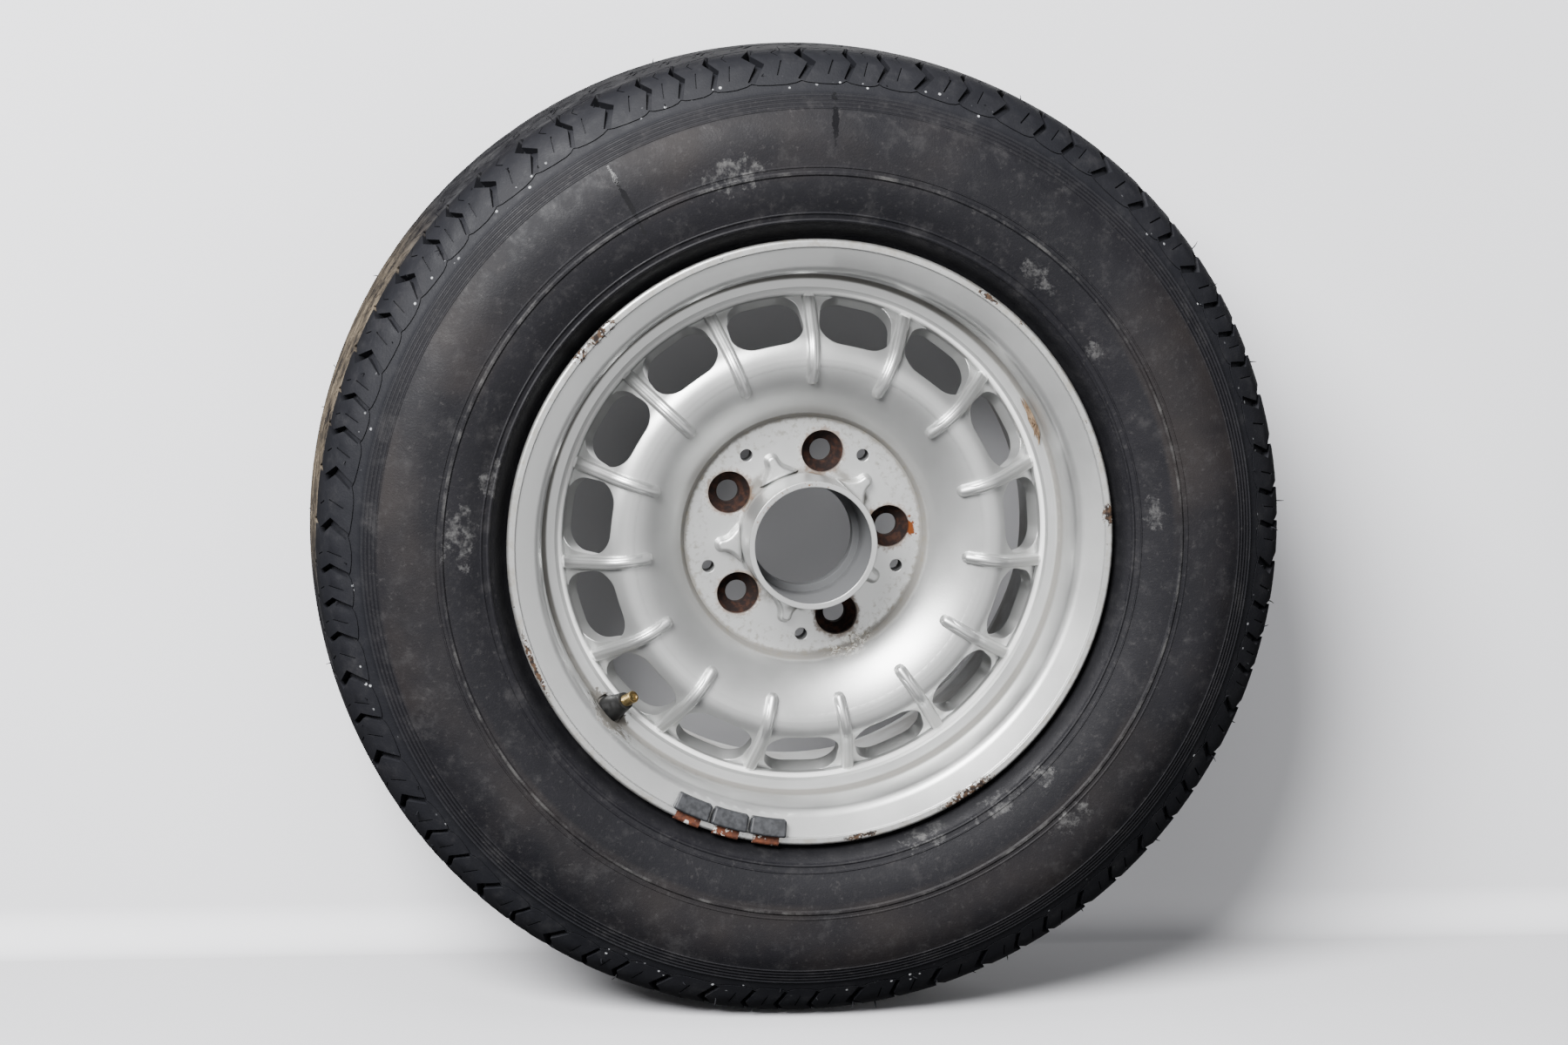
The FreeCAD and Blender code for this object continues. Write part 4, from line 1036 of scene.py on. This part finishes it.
def tyre_material():
    graph = Graph("tyre_rubber")
    radius, depth, bearing = graph.polar()
    out = graph.math("ABSOLUTE", depth)
    cloud = graph.ramp(graph.noise(9.0, 6.0, 0.62), 0.3, 0.75)
    mottle = graph.noise(60.0, 8.0, 0.72)
    torn = times(graph, graph.math("SUBTRACT", graph.noise(120.0, 8.0, 0.75), 0.5), 4.5)
    rubber = graph.mix(cloud, *RUBBER)
    wall = graph.ramp(out, 84.0, 92.0)
    brown = graph.band(radius, 234.0, 274.0, 4.0)
    brown = times(graph, brown, graph.ramp(graph.noise(7.0, 5.0), 0.42, 0.66), wall, 0.7)
    rubber = graph.mix(brown, rubber, WALL_BROWN)
    dusty = graph.ramp(mottle, 0.50, 0.74)
    rubber = graph.mix(times(graph, dusty, 0.42), rubber, WALL_DUST)
    grain = times(graph, graph.ramp(graph.noise(260.0, 6.0, 0.75), 0.54, 0.72), wall, 0.45)
    rubber = graph.mix(grain, rubber, WALL_GRAIN)
    # Painted sheen: the shoulder is lightened to a bluish tone all the way round
    shoulder = graph.band(radius, 288.0, 309.0, 6.0)
    rubber = graph.mix(times(graph, shoulder, 0.4), rubber, SHOULDER_SHEEN)

    # Scuffs, streaks, chalk caught by the rings, and painted shade along the edge by the rim
    front = graph.ramp(depth, 60.0, 70.0)
    scuff = graph.most(*[graph.patch(*place, torn) for place in SCUFFS])
    patchy = graph.band(radius, 202.0, 230.0, 4.0)
    patchy = times(graph, patchy, graph.ramp(graph.noise(8.0, 4.0), 0.52, 0.64),
                   graph.ramp(graph.noise(70.0, 8.0, 0.78), 0.58, 0.70))
    chalk = times(graph, graph.most(scuff, patchy), front)
    chalk = times(graph, chalk, graph.ramp(graph.noise(160.0, 6.0, 0.7), 0.42, 0.70), 0.5)
    rubber = graph.mix(chalk, rubber, CHALK)
    crest = graph.band(radius, 236.0, 237.6, 0.5)
    crest = times(graph, crest, graph.ramp(graph.noise(40.0, 6.0, 0.7), 0.45, 0.65), wall, 0.5)
    rubber = graph.mix(crest, rubber, CREST_CHALK)
    streak = graph.most(*[graph.patch(*place, torn) for place in STREAKS])
    wet = times(graph, streak, front)
    rubber = graph.mix(times(graph, wet, 0.8), rubber, STREAK_DARK)
    # Painted shade: darker towards the rim
    edge = graph.ramp(radius, 198.0, 206.0, 0.75, 0.0)
    rubber = graph.mix(edge, rubber, BEAD_SHADE)

    # Drops along the shoulder with painted glints on them, and dust on the tread
    drops_and_glints = graph.ramp(graph.cells(150.0), 0.10, 0.17, 1.0, 0.0)
    drops_and_glints = times(graph, drops_and_glints, graph.band(radius, 290.0, 295.0, 2.0))
    drops_and_glints = times(graph, drops_and_glints, graph.ramp(graph.noise(30.0), 0.45, 0.55), front)
    rubber = graph.mix(drops_and_glints, rubber, DROP_GLINT)
    tread = times(graph, graph.ramp(out, 48.0, 50.0, 1.0, 0.0), graph.ramp(radius, 309.5, 311.0))
    grey = times(graph, tread, graph.ramp(mottle, 0.35, 0.75), 0.5)
    rubber = graph.mix(grey, rubber, TREAD_GREY)
    sand = times(graph, tread, graph.near_bearing(163.0, 10, 16), graph.ramp(mottle, 0.32, 0.70), 0.8)
    rubber = graph.mix(sand, rubber, TREAD_SAND)

    graph.set("Base Color", rubber)
    sheen = graph.ramp(mottle, 0.3, 0.7, 0.48, 0.72)
    graph.set("Roughness", graph.ramp(graph.most(wet, drops_and_glints), 0.0, 1.0, sheen, 0.2))
    graph.set("Specular IOR Level", RUBBER_SPECULAR)
    graph.bump(graph.math("ADD", graph.noise(700.0, 4.0, 0.6), times(graph, mottle, 0.8)), 0.3, 0.5)
    return graph.material


# Valve and weights

PLAIN_SCALE = 300.0
PLAIN_SPREAD = 0.15


def plain_tone(graph):
    return graph.ramp(graph.noise(PLAIN_SCALE, 5.0, 0.6), 0.35, 0.68)


def plain_material(name, dark, light, roughness, metallic=0.0):
    graph = Graph(name)
    tone = plain_tone(graph)
    graph.set("Base Color", graph.mix(tone, dark, light))
    graph.set("Roughness", graph.ramp(tone, 0.0, 1.0, roughness, roughness + PLAIN_SPREAD))
    graph.set("Metallic", metallic)
    graph.bump(graph.noise(PLAIN_SCALE * 3, 4.0), 0.05, 0.5)
    return graph.material


VALVE_BLACK = ((0.006, 0.006, 0.006), (0.015, 0.015, 0.015))
CORE_BRASS = ((0.32, 0.22, 0.08), (0.52, 0.40, 0.18))
WEIGHT_LEAD = ((0.020, 0.021, 0.024), (0.045, 0.047, 0.052))
SPRING_STEEL = ((0.45, 0.45, 0.45), (0.6, 0.6, 0.6))
STEM_BRASS = ((0.36, 0.25, 0.10), (0.58, 0.44, 0.20))
# Painted shade in the thread's grooves
THREAD_SHADE = (0.07, 0.045, 0.02)
CLIP_RUST = ((0.06, 0.018, 0.009), (0.17, 0.048, 0.018))
CLIP_FLAKE = (0.62, 0.60, 0.57)
BRASS_METALLIC = 0.9
VALVE_SEAT = (167.86, 48.48)
VALVE_TILT = math.radians(47.94)
THREAD_PITCH = 0.8


def along_valve(distance):
    """The point on the middle line of the valve at a distance from its seat."""
    radius, depth = VALVE_SEAT
    return at(radius - distance * math.cos(VALVE_TILT), depth + distance * math.sin(VALVE_TILT), PATTERN_TURN)


VALVE_AXIS = (along_valve(1.0) - along_valve(0.0)).normalized()


def thread_material():
    """Dull brass with a screw thread across the valve's own length, and painted shade in the thread's
    grooves.
    """
    graph = Graph("threaded_brass")
    tone = plain_tone(graph)
    reach = graph.node("ShaderNodeVectorMath", operation="DOT_PRODUCT")
    graph.feed(reach.inputs[0], graph.place)
    graph.feed(reach.inputs[1], VALVE_AXIS)
    turns = times(graph, reach.outputs["Value"], 2 * math.pi / (THREAD_PITCH * MM))
    wave = graph.math("SINE", turns)
    # Painted shade in the thread's grooves
    dark = graph.ramp(wave, -0.9, 0.2, 1.0, 0.0)
    brass = graph.mix(tone, *STEM_BRASS)
    graph.set("Base Color", graph.mix(times(graph, dark, 0.75), brass, THREAD_SHADE))
    graph.set("Roughness", graph.ramp(tone, 0.0, 1.0, 0.28, 0.42))
    graph.set("Metallic", BRASS_METALLIC)
    graph.bump(wave, 0.15, 0.8)
    return graph.material


def clip_material():
    graph = Graph("rusty_clip")
    tone = graph.ramp(graph.noise(260.0, 6.0, 0.65), 0.35, 0.7)
    rust = graph.mix(tone, *CLIP_RUST)
    flake = graph.ramp(graph.noise(210.0, 4.0, 0.5), 0.60, 0.63)
    graph.set("Base Color", graph.mix(flake, rust, CLIP_FLAKE))
    graph.set("Roughness", 0.8)
    graph.bump(graph.noise(600.0, 5.0), 0.2, 0.7)
    return graph.material


add_camera()
add_stage()
add_lights()

silver = rim_material()
copy_node("rim", silver, slot="rim_paint")
add_ledge_lip(silver)
add_dome(silver)
add_rib_crowns(silver)
add_strand()
rubber = tyre_material()
build_tyre(rubber)
add_hairs(rubber)
black = plain_material("valve_rubber", *VALVE_BLACK, 0.5)
brass = plain_material("dull_brass", *CORE_BRASS, 0.3, BRASS_METALLIC)
lead = plain_material("dull_lead", *WEIGHT_LEAD, 0.5, 0.1)
steel = plain_material("spring_steel", *SPRING_STEEL, 0.3, 0.9)
copy_node("valve_rubber", black, slot="valve_rubber")
copy_node("valve_stem", thread_material(), slot="valve_brass")
copy_node("core_body", brass, slot="core_brass")
copy_node("core_gasket", black, slot="seal_rubber")
spring = copy_node("core_spring", steel, slot="spring_steel")
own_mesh(spring)
copy_node("core_pin", brass, PIN_BODY, slot="core_brass")
copy_node("plunger_seal", black, PIN_BODY, slot="seal_rubber")
rusty = clip_material()
for number in (1, 2, 3):
    copy_node(f"balance_weight_{number}", lead, slot="weight_lead")
    copy_node(f"weight_clip_{number}", rusty, slot="clip_rust")
